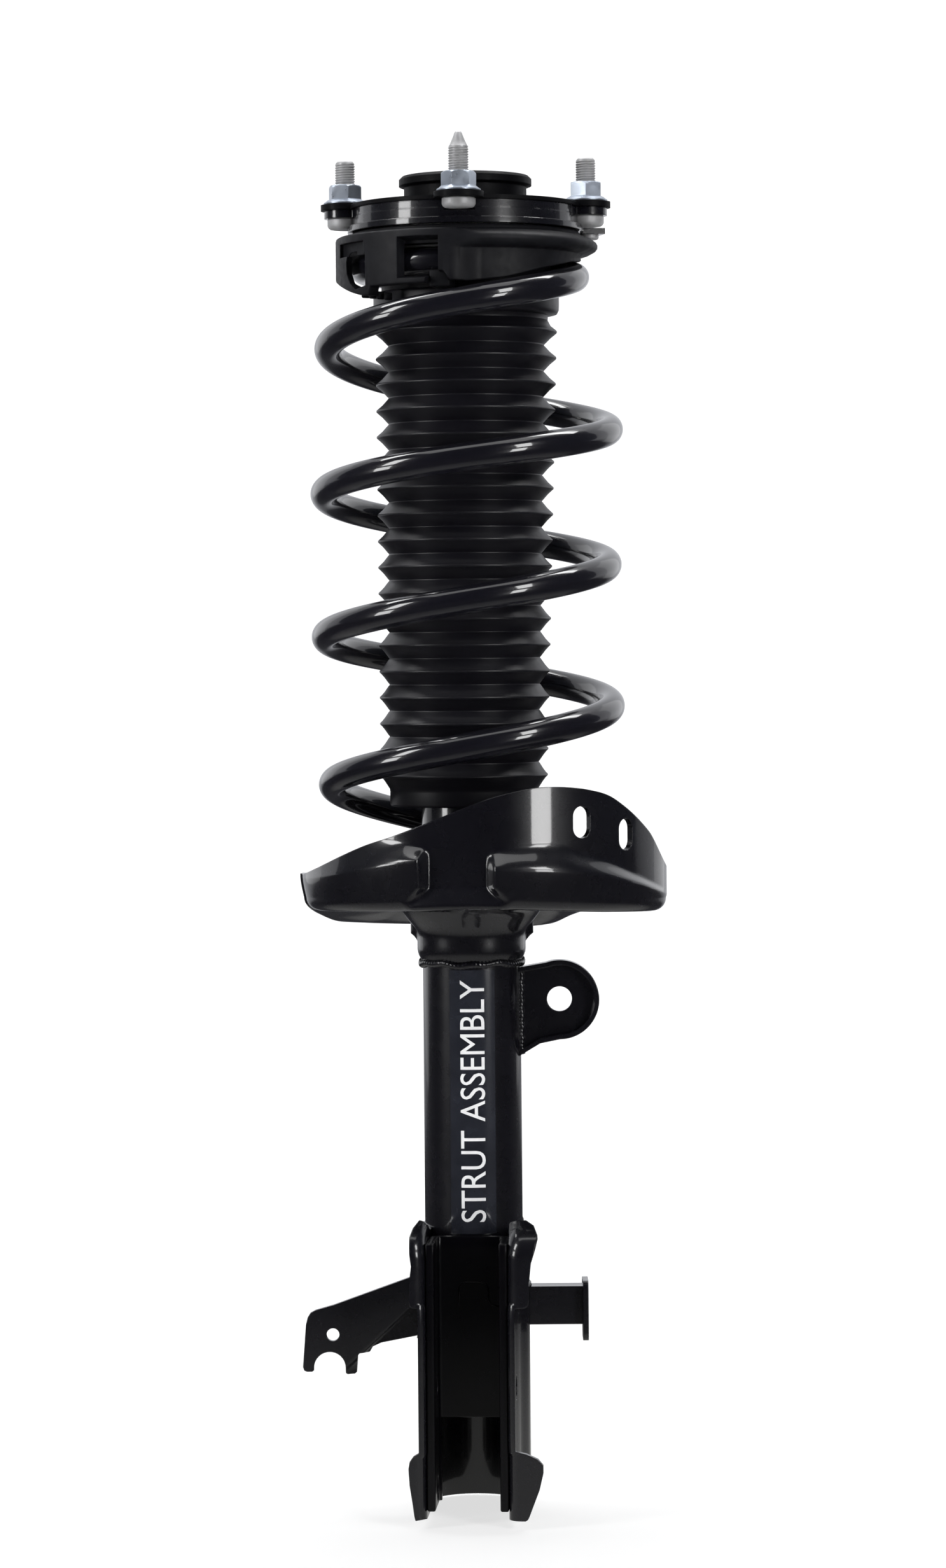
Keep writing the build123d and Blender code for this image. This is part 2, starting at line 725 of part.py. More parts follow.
with BuildPart() as bearing_cage:
    with BuildSketch(Plane.XY.offset(BALL_Z - CAGE_T / 2)):
        Circle(BALL_CIRCLE_R + BALL_R + CAGE_LAND)
        Circle(BALL_CIRCLE_R - BALL_R - CAGE_LAND, mode=Mode.SUBTRACT)
        with PolarLocations(BALL_CIRCLE_R, BALL_COUNT):
            Circle(BALL_R + CAGE_CLEAR, mode=Mode.SUBTRACT)
    extrude(amount=CAGE_T)
save(bearing_cage.part, "bearing_cage")

# ---------------------------------------------------------------- upper spring seat
SKIRT_MEAN_Z = (SEAT_SKIRT_LOW_Z + SEAT_SKIRT_HIGH_Z) / 2
SKIRT_SLOPE = (SEAT_SKIRT_HIGH_Z - SEAT_SKIRT_LOW_Z) / (2 * SEAT_R)
with BuildPart() as upper_spring_seat:
    with BuildSketch(Plane.XZ):
        with BuildLine():
            Polyline(
                (SEAT_BORE_R, SEAT_FLOOR_TOP_Z),
                (SEAT_RECESS_R, SEAT_FLOOR_TOP_Z),
                (SEAT_RECESS_R, SEAT_RIM_TOP_Z),
                (SEAT_STEP_R, SEAT_RIM_TOP_Z),
                (SEAT_STEP_R, SEAT_STEP_Z),
                (SEAT_R - SEAT_CORNER, SEAT_STEP_Z),
                (SEAT_R, SEAT_STEP_Z - SEAT_CORNER),
                (SEAT_R, SEAT_SKIRT_LOW_Z - OVERSHOOT),
                (SEAT_R - SEAT_SKIRT_T, SEAT_SKIRT_LOW_Z - OVERSHOOT),
                (SEAT_R - SEAT_SKIRT_T, SEAT_FLOOR_TOP_Z - SEAT_FLOOR_T),
                (SLEEVE_R, SEAT_FLOOR_TOP_Z - SEAT_FLOOR_T),
                (SLEEVE_R, SLEEVE_BOTTOM_Z),
                (SLEEVE_R - SLEEVE_T, SLEEVE_BOTTOM_Z),
                (SLEEVE_R - SLEEVE_T, SEAT_FLOOR_TOP_Z - SEAT_FLOOR_T),
                (SEAT_BORE_R, SEAT_FLOOR_TOP_Z - SEAT_FLOOR_T),
                close=True,
            )
        make_face()
    revolve(axis=Axis.Z)
    with BuildSketch(Plane.XZ.offset(-SEAT_R - OVERSHOOT)):
        with BuildLine():
            Polyline(
                (-SEAT_R - OVERSHOOT, SKIRT_MEAN_Z - SKIRT_SLOPE * (SEAT_R + OVERSHOOT)),
                (SEAT_R + OVERSHOOT, SKIRT_MEAN_Z + SKIRT_SLOPE * (SEAT_R + OVERSHOOT)),
                (SEAT_R + OVERSHOOT, SEAT_SKIRT_LOW_Z - 4 * OVERSHOOT),
                (-SEAT_R - OVERSHOOT, SEAT_SKIRT_LOW_Z - 4 * OVERSHOOT),
                close=True,
            )
        make_face()
    extrude(amount=2 * SEAT_R + 2 * OVERSHOOT, mode=Mode.SUBTRACT)
    with BuildSketch(Plane.XY.offset(SLEEVE_BOTTOM_Z)):
        Circle(SLEEVE_R)
        Circle(SLEEVE_R - SLEEVE_T, mode=Mode.SUBTRACT)
    extrude(amount=SEAT_FLOOR_TOP_Z - SEAT_FLOOR_T - SLEEVE_BOTTOM_Z)
    window_plane = Plane(
        origin=(*polar(SEAT_R + OVERSHOOT, WINDOW_CENTRE), (WINDOW_TOP_Z + WINDOW_BOTTOM_Z) / 2),
        x_dir=(-sin(radians(WINDOW_CENTRE)), cos(radians(WINDOW_CENTRE)), 0),
        z_dir=(-cos(radians(WINDOW_CENTRE)), -sin(radians(WINDOW_CENTRE)), 0),
    )
    with BuildSketch(window_plane):
        Rectangle(WINDOW_WIDTH, WINDOW_TOP_Z - WINDOW_BOTTOM_Z)
    extrude(amount=2 * OVERSHOOT, mode=Mode.SUBTRACT)
save(upper_spring_seat.part, "upper_spring_seat")

with BuildPart() as upper_spring_isolator:
    with BuildSketch(Plane.XY.offset(SEAT_FLOOR_TOP_Z - SEAT_FLOOR_T - ISOLATOR_T)):
        Circle(ISOLATOR_OUTER_R)
        Circle(ISOLATOR_INNER_R, mode=Mode.SUBTRACT)
    extrude(amount=ISOLATOR_T)
save(upper_spring_isolator.part, "upper_spring_isolator")

# ---------------------------------------------------------------- coil spring
spring_points = []
turn = SPRING_HEIGHTS[0][0]
while turn <= SPRING_HEIGHTS[-1][0]:
    mean_r = hermite(SPRING_RADII, turn)
    spring_points.append((*polar(mean_r, 180 + turn), hermite(SPRING_HEIGHTS, turn)))
    turn += SPRING_STEP
with BuildPart() as coil_spring:
    with BuildLine() as coil_line:
        Spline(*spring_points)
    with BuildSketch(Plane(origin=coil_line.line @ 0, z_dir=coil_line.line % 0)):
        Circle(WIRE_R)
    sweep(path=coil_line.line, is_frenet=True)
save(coil_spring.part, "coil_spring")

# ---------------------------------------------------------------- dust boot
boot_outer = [(BOOT_CUFF_R_TOP, BOOT_TOP_Z), (BOOT_CUFF_R_TOP, BOOT_CUFF_TOP_END_Z)]
for fold in range(BOOT_FOLDS):
    share = fold / (BOOT_FOLDS - 1)
    tip_z = BOOT_FIRST_TIP_Z - fold * BOOT_PITCH
    valley_r = BOOT_VALLEY_R_TOP + share * (BOOT_VALLEY_R_BOTTOM - BOOT_VALLEY_R_TOP)
    tip_r = BOOT_TIP_R_TOP + share * (BOOT_TIP_R_BOTTOM - BOOT_TIP_R_TOP)
    boot_outer.append((valley_r, tip_z + BOOT_PITCH / 2))
    boot_outer.append((tip_r, tip_z))
boot_outer.append((BOOT_CUFF_R_BOTTOM, BOOT_FIRST_TIP_Z - (BOOT_FOLDS - 0.5) * BOOT_PITCH))
boot_outer.append((BOOT_CUFF_R_BOTTOM, BOOT_BOTTOM_Z))
boot_inner = [
    (SLEEVE_R, BOOT_TOP_Z),
    (SLEEVE_R, BOOT_LIP_Z),
    (SLEEVE_R + BOOT_LIP, BOOT_CUFF_TOP_END_Z),
    *[(r - BOOT_WALL, z) for r, z in boot_outer[2:]],
]
with BuildPart() as dust_boot:
    with BuildSketch(Plane.XZ):
        with BuildLine():
            Polyline(*boot_outer, *reversed(boot_inner), close=True)
        make_face()
    revolve(axis=Axis.Z)
save(dust_boot.part, "dust_boot")

# ---------------------------------------------------------------- damper tube and its inside
with BuildPart() as outer_tube:
    with BuildSketch(Plane.XY.offset(TUBE_BOTTOM_Z)):
        Circle(TUBE_R)
        Circle(TUBE_R - TUBE_WALL, mode=Mode.SUBTRACT)
    extrude(amount=TUBE_TOP_Z - TUBE_BOTTOM_Z)
    with BuildSketch(Plane.XY.offset(TUBE_TOP_Z - TUBE_LIP_T)):
        Circle(TUBE_R)
        Circle(TUBE_LIP_R, mode=Mode.SUBTRACT)
    extrude(amount=TUBE_LIP_T)
save(outer_tube.part, "outer_tube")

with BuildPart() as base_cap:
    with BuildSketch(Plane.XY.offset(TUBE_BOTTOM_Z)):
        Circle(TUBE_R - TUBE_WALL)
    extrude(amount=BASE_CAP_T)
    with BuildSketch(Plane.XY.offset(TUBE_BOTTOM_Z)):
        Circle(BASE_CAP_DISH_R)
    extrude(amount=BASE_CAP_DISH, mode=Mode.SUBTRACT)
save(base_cap.part, "base_cap")

with BuildPart() as base_valve:
    with BuildSketch(Plane.XY.offset(TUBE_BOTTOM_Z + BASE_CAP_T)):
        Circle(CYLINDER_R)
        with PolarLocations(CYLINDER_R, FOOT_SLOT_COUNT):
            Circle(FOOT_SLOT_R, mode=Mode.SUBTRACT)
    extrude(amount=CYLINDER_BOTTOM_Z - TUBE_BOTTOM_Z - BASE_CAP_T)
    with BuildSketch(Plane.XY.offset(CYLINDER_BOTTOM_Z)):
        Circle(SPIGOT_R)
        with PolarLocations(FOOT_PORT_CIRCLE_R, PORT_COUNT):
            Circle(PORT_R, mode=Mode.SUBTRACT)
    extrude(amount=SPIGOT_H)
save(base_valve.part, "base_valve")

with BuildPart() as inner_cylinder:
    with BuildSketch(Plane.XY.offset(CYLINDER_BOTTOM_Z)):
        Circle(CYLINDER_R)
        Circle(CYLINDER_BORE_R, mode=Mode.SUBTRACT)
    extrude(amount=CYLINDER_TOP_Z - CYLINDER_BOTTOM_Z)
save(inner_cylinder.part, "inner_cylinder")

with BuildPart() as rod_guide:
    with BuildSketch(Plane.XY.offset(CYLINDER_TOP_Z)):
        Circle(TUBE_R - TUBE_WALL)
    extrude(amount=GUIDE_TOP_Z - CYLINDER_TOP_Z)
    with BuildSketch(Plane.XY.offset(CYLINDER_TOP_Z - SPIGOT_H)):
        Circle(SPIGOT_R)
    extrude(amount=SPIGOT_H)
    with BuildSketch(Plane.XY.offset(CYLINDER_TOP_Z - SPIGOT_H)):
        Circle(GUIDE_BORE_R)
    extrude(amount=GUIDE_TOP_Z - CYLINDER_TOP_Z + SPIGOT_H, mode=Mode.SUBTRACT)
save(rod_guide.part, "rod_guide")

with BuildPart() as rod_seal:
    with BuildSketch(Plane.XZ):
        with BuildLine():
            Polyline(
                (GUIDE_BORE_R, GUIDE_TOP_Z),
                (TUBE_R - TUBE_WALL, GUIDE_TOP_Z),
                (TUBE_R - TUBE_WALL, SEAL_TOP_Z),
                (TUBE_LIP_R + SEAL_LIP_W, SEAL_TOP_Z),
                (TUBE_LIP_R, SEAL_TOP_Z - SEAL_LIP_DROP),
                (GUIDE_BORE_R, SEAL_TOP_Z - SEAL_LIP_DROP / 3),
                close=True,
            )
        make_face()
    revolve(axis=Axis.Z)
save(rod_seal.part, "rod_seal")

with BuildPart() as tube_top_cap:
    with BuildSketch(Plane.XZ):
        with BuildLine():
            Polyline(
                (CAP_BORE_R, TUBE_TOP_Z),
                (TUBE_R, TUBE_TOP_Z),
                (TUBE_R, CAP_SKIRT_Z),
                (CAP_R, CAP_SKIRT_Z),
                (CAP_R, TUBE_TOP_Z + CAP_T - CAP_EDGE),
                (CAP_R - CAP_EDGE, TUBE_TOP_Z + CAP_T),
                (CAP_BORE_R, TUBE_TOP_Z + CAP_T),
                close=True,
            )
        make_face()
    revolve(axis=Axis.Z)
save(tube_top_cap.part, "tube_top_cap")

# ---------------------------------------------------------------- lower spring seat
PAN_AXIS = Axis((PAN_CENTRE_X, 0, 0), (0, 0, 1))
PANEL_MID_X = PAN_CENTRE_X + (PANEL_LEFT_X + PANEL_RIGHT_X) / 2
PANEL_W = PANEL_RIGHT_X - PANEL_LEFT_X
with BuildPart() as panel_block:
    with BuildSketch(half_plane(PAN_CENTRE_X, 0)):
        with BuildLine():
            Polyline(
                (0, PAN_FLOOR_Z - PAN_T),
                (PAN_FLOOR_R, PAN_FLOOR_Z - PAN_T),
                (PAN_R, PAN_TAPER_Z),
                (PAN_R, PAN_SHOULDER_Z),
                (PAN_UPPER_R, PAN_NECKING_Z),
                (PAN_UPPER_R, PANEL_TOP_Z + PAN_T),
                (0, PANEL_TOP_Z + PAN_T),
                close=True,
            )
        make_face()
    revolve(axis=PAN_AXIS)
    with BuildSketch(Plane.XY.offset(PAN_FLOOR_Z - PAN_T)):
        with Locations((PANEL_MID_X, PANEL_DEPTH + PAN_T - PAN_R)):
            Rectangle(PANEL_W + 2 * PAN_T, 4 * PANEL_DEPTH, align=(Align.CENTER, Align.MAX))
    extrude(amount=PANEL_TOP_Z + 2 * PAN_T - PAN_FLOOR_Z, mode=Mode.INTERSECT)

with BuildPart() as lower_spring_seat:
    with BuildSketch(half_plane(PAN_CENTRE_X, 0)):
        with BuildLine():
            Polyline(
                (0, PAN_FLOOR_Z - PAN_T),
                (PAN_FLOOR_R, PAN_FLOOR_Z - PAN_T),
                (PAN_R, PAN_TAPER_Z),
                (PAN_R, PAN_SHOULDER_Z),
                (PAN_UPPER_R, PAN_NECKING_Z),
                (PAN_UPPER_R, PAN_WALL_Z),
                (PAN_UPPER_R - PAN_T, PAN_WALL_Z),
                (PAN_UPPER_R - PAN_T, PAN_NECKING_Z - 1),
                (PAN_R - PAN_T, PAN_SHOULDER_Z - 1),
                (PAN_R - PAN_T, PAN_TAPER_Z + 1),
                (PAN_FLOOR_R - 1, PAN_FLOOR_Z),
                (0, PAN_FLOOR_Z),
                close=True,
            )
        make_face()
    revolve(axis=PAN_AXIS)
    # the wall is low at the back and follows a curve at the front
    with BuildSketch(Plane.XY.offset(PAN_BACK_WALL_Z)):
        with Locations((PAN_CENTRE_X, PAN_R)):
            Rectangle(4 * PAN_R, 2 * PAN_R)
    extrude(amount=PAN_WALL_Z - PAN_BACK_WALL_Z + OVERSHOOT, mode=Mode.SUBTRACT)
    with BuildSketch(Plane.XZ):
        with BuildLine():
            edge = Spline(*[(PAN_CENTRE_X + x, z) for x, z in PAN_EDGE])
            Polyline(
                edge @ 1,
                (PAN_CENTRE_X + 2 * PAN_R, PAN_EDGE[-1][1]),
                (PAN_CENTRE_X + 2 * PAN_R, PAN_WALL_Z + OVERSHOOT),
                (PAN_CENTRE_X - 2 * PAN_R, PAN_WALL_Z + OVERSHOOT),
                (PAN_CENTRE_X - 2 * PAN_R, PAN_EDGE[0][1]),
                edge @ 0,
            )
        make_face()
    extrude(amount=2 * PAN_R, mode=Mode.SUBTRACT)
    # flat panel pressed inwards low down at the front
    add(panel_block.part)
    with BuildSketch(Plane.XY.offset(PAN_FLOOR_Z - PAN_T)):
        with Locations((PANEL_MID_X, PANEL_DEPTH - PAN_R)):
            Rectangle(PANEL_W, 4 * PANEL_DEPTH, align=(Align.CENTER, Align.MAX))
    extrude(amount=PANEL_TOP_Z - PAN_FLOOR_Z + PAN_T, mode=Mode.SUBTRACT)
    # tie-down slots
    for angle, height in SLOTS:
        outside = PAN_R + OVERSHOOT
        slot_plane = Plane(
            origin=(PAN_CENTRE_X + outside * cos(radians(angle)), outside * sin(radians(angle)), height),
            x_dir=(0, 0, 1),
            z_dir=(-cos(radians(angle)), -sin(radians(angle)), 0),
        )
        with BuildSketch(slot_plane):
            SlotOverall(SLOT_H, SLOT_W)
        extrude(amount=3 * OVERSHOOT, mode=Mode.SUBTRACT)
    # trough at the back that takes the low end of the spring
    with BuildSketch(half_plane(PAN_CENTRE_X, TROUGH_START)):
        with BuildLine():
            Polyline(
                (TROUGH_INNER_R, PAN_FLOOR_Z),
                (TROUGH_INNER_R, TROUGH_BOTTOM_Z),
                (TROUGH_OUTER_R - TROUGH_CORNER, TROUGH_BOTTOM_Z),
                (TROUGH_OUTER_R, TROUGH_BOTTOM_Z + TROUGH_CORNER),
                (TROUGH_OUTER_R, PAN_FLOOR_Z),
                close=True,
            )
        make_face()
    revolve(axis=PAN_AXIS, revolution_arc=TROUGH_ARC)
    with BuildSketch(half_plane(PAN_CENTRE_X, TROUGH_START + TROUGH_END_WALL)):
        with BuildLine():
            Polyline(
                (TROUGH_INNER_R + PAN_T, PAN_FLOOR_Z + 0.5),
                (TROUGH_INNER_R + PAN_T, TROUGH_BOTTOM_Z + PAN_T),
                (TROUGH_OUTER_R - PAN_T - TROUGH_CORNER / 2, TROUGH_BOTTOM_Z + PAN_T),
                (TROUGH_OUTER_R - PAN_T, TROUGH_BOTTOM_Z + PAN_T + TROUGH_CORNER / 2),
                (TROUGH_OUTER_R - PAN_T, PAN_FLOOR_Z + 0.5),
                close=True,
            )
        make_face()
    revolve(axis=PAN_AXIS, revolution_arc=TROUGH_ARC - 2 * TROUGH_END_WALL, mode=Mode.SUBTRACT)
    # drawn neck that grips the tube
    with BuildSketch(Plane.XY.offset(PAN_FLOOR_Z - PAN_T - 1)):
        Circle(NECK_TOP_R)
    extrude(amount=PAN_T + 2, mode=Mode.SUBTRACT)
    with BuildSketch(Plane.XZ):
        with BuildLine():
            Polyline(
                (NECK_TOP_R, PAN_FLOOR_Z),
                (NECK_TOP_R, PAN_FLOOR_Z - PAN_T),
                (NECK_COLLAR_R, NECK_COLLAR_TOP_Z),
                (NECK_COLLAR_R, NECK_COLLAR_END_Z),
                (NECK_LIP_R, NECK_LIP_Z),
                (TUBE_R, NECK_BOTTOM_Z),
                (TUBE_R, NECK_COLLAR_TOP_Z + 2),
                (NECK_TOP_R - PAN_T, PAN_FLOOR_Z),
                close=True,
            )
        make_face()
    revolve(axis=Axis.Z)
    # half-round saddle that backs the neck at the rear
    with BuildSketch(half_plane(0, 0)):
        with BuildLine():
            Polyline(
                (NECK_COLLAR_R - 1, PAN_FLOOR_Z - PAN_T),
                (SADDLE_R, PAN_FLOOR_Z - PAN_T),
                (SADDLE_R, SADDLE_BOTTOM_Z + SADDLE_EDGE_H),
                (SADDLE_R - SADDLE_EDGE_W, SADDLE_BOTTOM_Z),
                (NECK_COLLAR_R - 1, SADDLE_BOTTOM_Z),
                close=True,
            )
        make_face()
    revolve(axis=Axis.Z, revolution_arc=180)
save(lower_spring_seat.part, "lower_spring_seat")

with BuildPart() as lower_spring_pad:
    with BuildSketch(half_plane(0, PAD_START)):
        with Locations((PAD_INNER_R, PAN_FLOOR_Z)):
            Rectangle(PAD_OUTER_R - PAD_INNER_R, PAD_T, align=(Align.MIN, Align.MIN))
    revolve(axis=Axis.Z, revolution_arc=PAD_ARC)
save(lower_spring_pad.part, "lower_spring_pad")

# ---------------------------------------------------------------- knuckle bracket
TURN_X = (cos(radians(BRACKET_TURN)), sin(radians(BRACKET_TURN)), 0)


def bracket_level(height):
    """A horizontal plane turned with the bracket."""
    return Plane(origin=(0, 0, height), x_dir=TURN_X, z_dir=(0, 0, 1))


def channel_outline(radius, half_width):
    """Half-round back, necked sides and an open front, as one closed outline."""
    arc = RadiusArc((-radius, 0), (radius, 0), radius)
    Polyline(
        arc @ 1,
        (radius, -NECKING_START),
        (half_width, -NECKING_END),
        (half_width, -BRACKET_FRONT),
        (-half_width, -BRACKET_FRONT),
        (-half_width, -NECKING_END),
        (-radius, -NECKING_START),
        arc @ 0,
    )


BRACKET_SIDE = Plane(
    origin=(0, 0, 0), x_dir=(sin(radians(-BRACKET_TURN)), cos(radians(BRACKET_TURN)), 0), z_dir=TURN_X
)
FRONT_DIR = (sin(radians(BRACKET_TURN)), -cos(radians(BRACKET_TURN)), 0)
BRACKET_FACE = Plane(
    origin=(FRONT_DIR[0] * BRACKET_FRONT, FRONT_DIR[1] * BRACKET_FRONT, 0), x_dir=TURN_X, z_dir=FRONT_DIR
)
with BuildPart() as knuckle_bracket_outer:
    with BuildSketch(bracket_level(BRACKET_BOTTOM_Z)):
        with BuildLine():
            channel_outline(TUBE_R + BRACKET_T, BRACKET_HALF_W)
        make_face()
    extrude(amount=BRACKET_TOP_Z - BRACKET_BOTTOM_Z)
    with BuildSketch(bracket_level(BRACKET_BOTTOM_Z)):
        with BuildLine():
            channel_outline(TUBE_R, BRACKET_HALF_W - BRACKET_T)
        make_face()
    extrude(amount=BRACKET_TOP_Z - BRACKET_BOTTOM_Z, mode=Mode.SUBTRACT)
    # outward flanges at the top and bottom of the open front
    for side, reach in ((-1, FLARE_LEFT), (1, FLARE_RIGHT)):
        for top, bottom in ((BRACKET_TOP_Z, UPPER_FLARE_BOTTOM_Z), (LOWER_FLARE_TOP_Z, BRACKET_BOTTOM_Z)):
            root = BRACKET_HALF_W - BRACKET_T / 2
            with BuildSketch(BRACKET_FACE):
                with BuildLine():
                    Polyline(
                        (side * root, top),
                        (side * (reach - FLARE_ROUND / 2), top),
                        (side * reach, top - FLARE_ROUND),
                        (side * reach, bottom + FLARE_FOOT),
                        (side * (reach - FLARE_FOOT), bottom),
                        (side * root, bottom),
                        close=True,
                    )
                make_face()
            extrude(amount=-BRACKET_T)
    # flat seats for the bolt heads and nuts, then the upper and lower knuckle bolt holes
    with BuildSketch(BRACKET_SIDE.offset(BRACKET_HALF_W - PAD_POCKET)):
        with Locations((-(POCKET_FRONT + POCKET_BACK) / 2, (POCKET_TOP_Z + POCKET_BOTTOM_Z) / 2)):
            Rectangle(POCKET_FRONT - POCKET_BACK, POCKET_TOP_Z - POCKET_BOTTOM_Z)
    extrude(amount=PAD_POCKET + OVERSHOOT, mode=Mode.SUBTRACT)
    with BuildSketch(BRACKET_SIDE.offset(-BRACKET_HALF_W + PAD_POCKET)):
        with Locations((-(POCKET_FRONT + POCKET_BACK) / 2, (POCKET_TOP_Z + POCKET_BOTTOM_Z) / 2)):
            Rectangle(POCKET_FRONT - POCKET_BACK, POCKET_TOP_Z - POCKET_BOTTOM_Z)
    extrude(amount=-PAD_POCKET - OVERSHOOT, mode=Mode.SUBTRACT)
    with BuildSketch(BRACKET_SIDE.offset(-BRACKET_HALF_W - OVERSHOOT)):
        with Locations((KNUCKLE_BOLT_Y, UPPER_BOLT_Z), (KNUCKLE_BOLT_Y, LOWER_BOLT_Z)):
            Circle(KNUCKLE_BOLT_R)
    extrude(amount=2 * BRACKET_HALF_W + 2 * OVERSHOOT, mode=Mode.SUBTRACT)
save(knuckle_bracket_outer.part, "knuckle_bracket_outer")

INNER_OUT_W = BRACKET_HALF_W - BRACKET_T
INNER_GAP_W = INNER_OUT_W - BRACKET_INNER_T
WALL_LEN = BRACKET_FRONT - WEB_BACK
with BuildPart() as knuckle_bracket_inner:
    with BuildSketch(bracket_level(INNER_BOTTOM_Z)):
        for side in (-1, 1):
            with Locations((side * (INNER_OUT_W + INNER_GAP_W) / 2, -(BRACKET_FRONT + WEB_BACK) / 2)):
                Rectangle(BRACKET_INNER_T, WALL_LEN)
    extrude(amount=INNER_TOP_Z - INNER_BOTTOM_Z)
    with BuildSketch(bracket_level(WEB_BOTTOM_Z)):
        with Locations((0, -WEB_BACK - BRACKET_INNER_T / 2)):
            Rectangle(2 * INNER_OUT_W, BRACKET_INNER_T)
    extrude(amount=WEB_TOP_Z - WEB_BOTTOM_Z)
    with BuildSketch(BRACKET_SIDE.offset(-BRACKET_HALF_W - OVERSHOOT)):
        with Locations((KNUCKLE_BOLT_Y, UPPER_BOLT_Z), (KNUCKLE_BOLT_Y, LOWER_BOLT_Z)):
            Circle(KNUCKLE_BOLT_R)
    extrude(amount=2 * BRACKET_HALF_W + 2 * OVERSHOOT, mode=Mode.SUBTRACT)
save(knuckle_bracket_inner.part, "knuckle_bracket_inner")

# ---------------------------------------------------------------- stabiliser link bracket
with BuildPart() as stabilizer_link_bracket:
    with BuildSketch(Plane.XZ.offset(-LINK_BACK_Y)) as link_outline:
        with Locations((LINK_X, LINK_Z)):
            Circle(LINK_R)
        with BuildLine():
            Polyline(
                (TUBE_R - LINK_SHOULDER, LINK_Z + LINK_R - LINK_SHOULDER),
                (LINK_X, LINK_Z + LINK_R),
                (LINK_X, LINK_Z - LINK_R),
                (LINK_X - LINK_FOOT, LINK_Z - LINK_R - LINK_WAIST),
                (TUBE_R - LINK_SHOULDER, LINK_Z - LINK_R - LINK_FOOT),
                close=True,
            )
        make_face()
    extrude(amount=LINK_DEPTH)
    with BuildSketch(Plane.XZ.offset(-LINK_BACK_Y + LINK_T)):
        with Locations((LINK_X, LINK_Z)):
            Circle(LINK_R - LINK_RIM)
        with BuildLine():
            Polyline(
                (TUBE_R - LINK_SHOULDER, LINK_Z + LINK_R - LINK_SHOULDER - LINK_RIM),
                (LINK_X, LINK_Z + LINK_R - LINK_RIM),
                (LINK_X, LINK_Z - LINK_R + LINK_RIM),
                (LINK_X - LINK_FOOT, LINK_Z - LINK_R - LINK_WAIST + LINK_RIM),
                (TUBE_R - LINK_SHOULDER, LINK_Z - LINK_R - LINK_FOOT + LINK_RIM),
                close=True,
            )
        make_face()
    extrude(amount=LINK_DEPTH, mode=Mode.SUBTRACT)
    with BuildSketch(Plane.XZ.offset(-LINK_BACK_Y - 1)):
        with Locations((LINK_X, LINK_Z)):
            Circle(LINK_HOLE_R)
    extrude(amount=LINK_T + 2, mode=Mode.SUBTRACT)
    with BuildSketch(Plane.XY.offset(LINK_Z - 2 * LINK_R)):
        Circle(TUBE_R)
    extrude(amount=4 * LINK_R, mode=Mode.SUBTRACT)
save(stabilizer_link_bracket.part, "stabilizer_link_bracket")

# ---------------------------------------------------------------- brake hose bracket
with BuildPart() as hose_bracket:
    with BuildSketch(Plane.XZ.offset(-HOSE_BACK_Y)):
        with BuildLine():
            Polyline(*HOSE_EDGE_TOP, *HOSE_EDGE_LEFT, (NOTCH_LEFT_X, NOTCH_SIDE_Z))
            RadiusArc((NOTCH_LEFT_X, NOTCH_SIDE_Z), (NOTCH_RIGHT_X, NOTCH_SIDE_Z), NOTCH_R)
            Polyline((NOTCH_RIGHT_X, NOTCH_SIDE_Z), *HOSE_EDGE_RIGHT, *HOSE_EDGE_LOW, HOSE_EDGE_TOP[0])
        make_face()
        with Locations(HOSE_HOLE):
            Circle(HOSE_HOLE_R, mode=Mode.SUBTRACT)
    extrude(amount=HOSE_T)
    with BuildSketch(bracket_level(BRACKET_BOTTOM_Z)):
        with BuildLine():
            channel_outline(TUBE_R + BRACKET_T, BRACKET_HALF_W)
        make_face()
    extrude(amount=BRACKET_TOP_Z - BRACKET_BOTTOM_Z, mode=Mode.SUBTRACT)
save(hose_bracket.part, "hose_bracket")

# ---------------------------------------------------------------- sensor wire bracket
with BuildPart() as sensor_bracket:
    with BuildSketch(Plane.YZ.offset(TUBE_R)):
        with Locations((0, (STUB_TOP_Z + STUB_BOTTOM_Z) / 2)):
            Rectangle(STUB_DEPTH, STUB_TOP_Z - STUB_BOTTOM_Z)
        with Locations((STUB_T, (STUB_TOP_Z + STUB_BOTTOM_Z) / 2)):
            Rectangle(STUB_DEPTH, STUB_TOP_Z - STUB_BOTTOM_Z - 2 * STUB_T, mode=Mode.SUBTRACT)
    extrude(amount=STUB_X - TUBE_R)
    with BuildSketch(Plane.YZ.offset(STUB_X)):
        with Locations((0, (STUB_PLATE_TOP_Z + STUB_PLATE_BOTTOM_Z) / 2)):
            RectangleRounded(STUB_PLATE_W, STUB_PLATE_TOP_Z - STUB_PLATE_BOTTOM_Z, STUB_PLATE_CORNER)
        with Locations((0, STUB_HOLE_Z)):
            Circle(STUB_HOLE_R, mode=Mode.SUBTRACT)
    extrude(amount=STUB_PLATE_T)
    with BuildSketch(bracket_level(BRACKET_BOTTOM_Z)):
        with BuildLine():
            channel_outline(TUBE_R + BRACKET_T, BRACKET_HALF_W)
        make_face()
    extrude(amount=BRACKET_TOP_Z - BRACKET_BOTTOM_Z, mode=Mode.SUBTRACT)
save(sensor_bracket.part, "sensor_bracket")

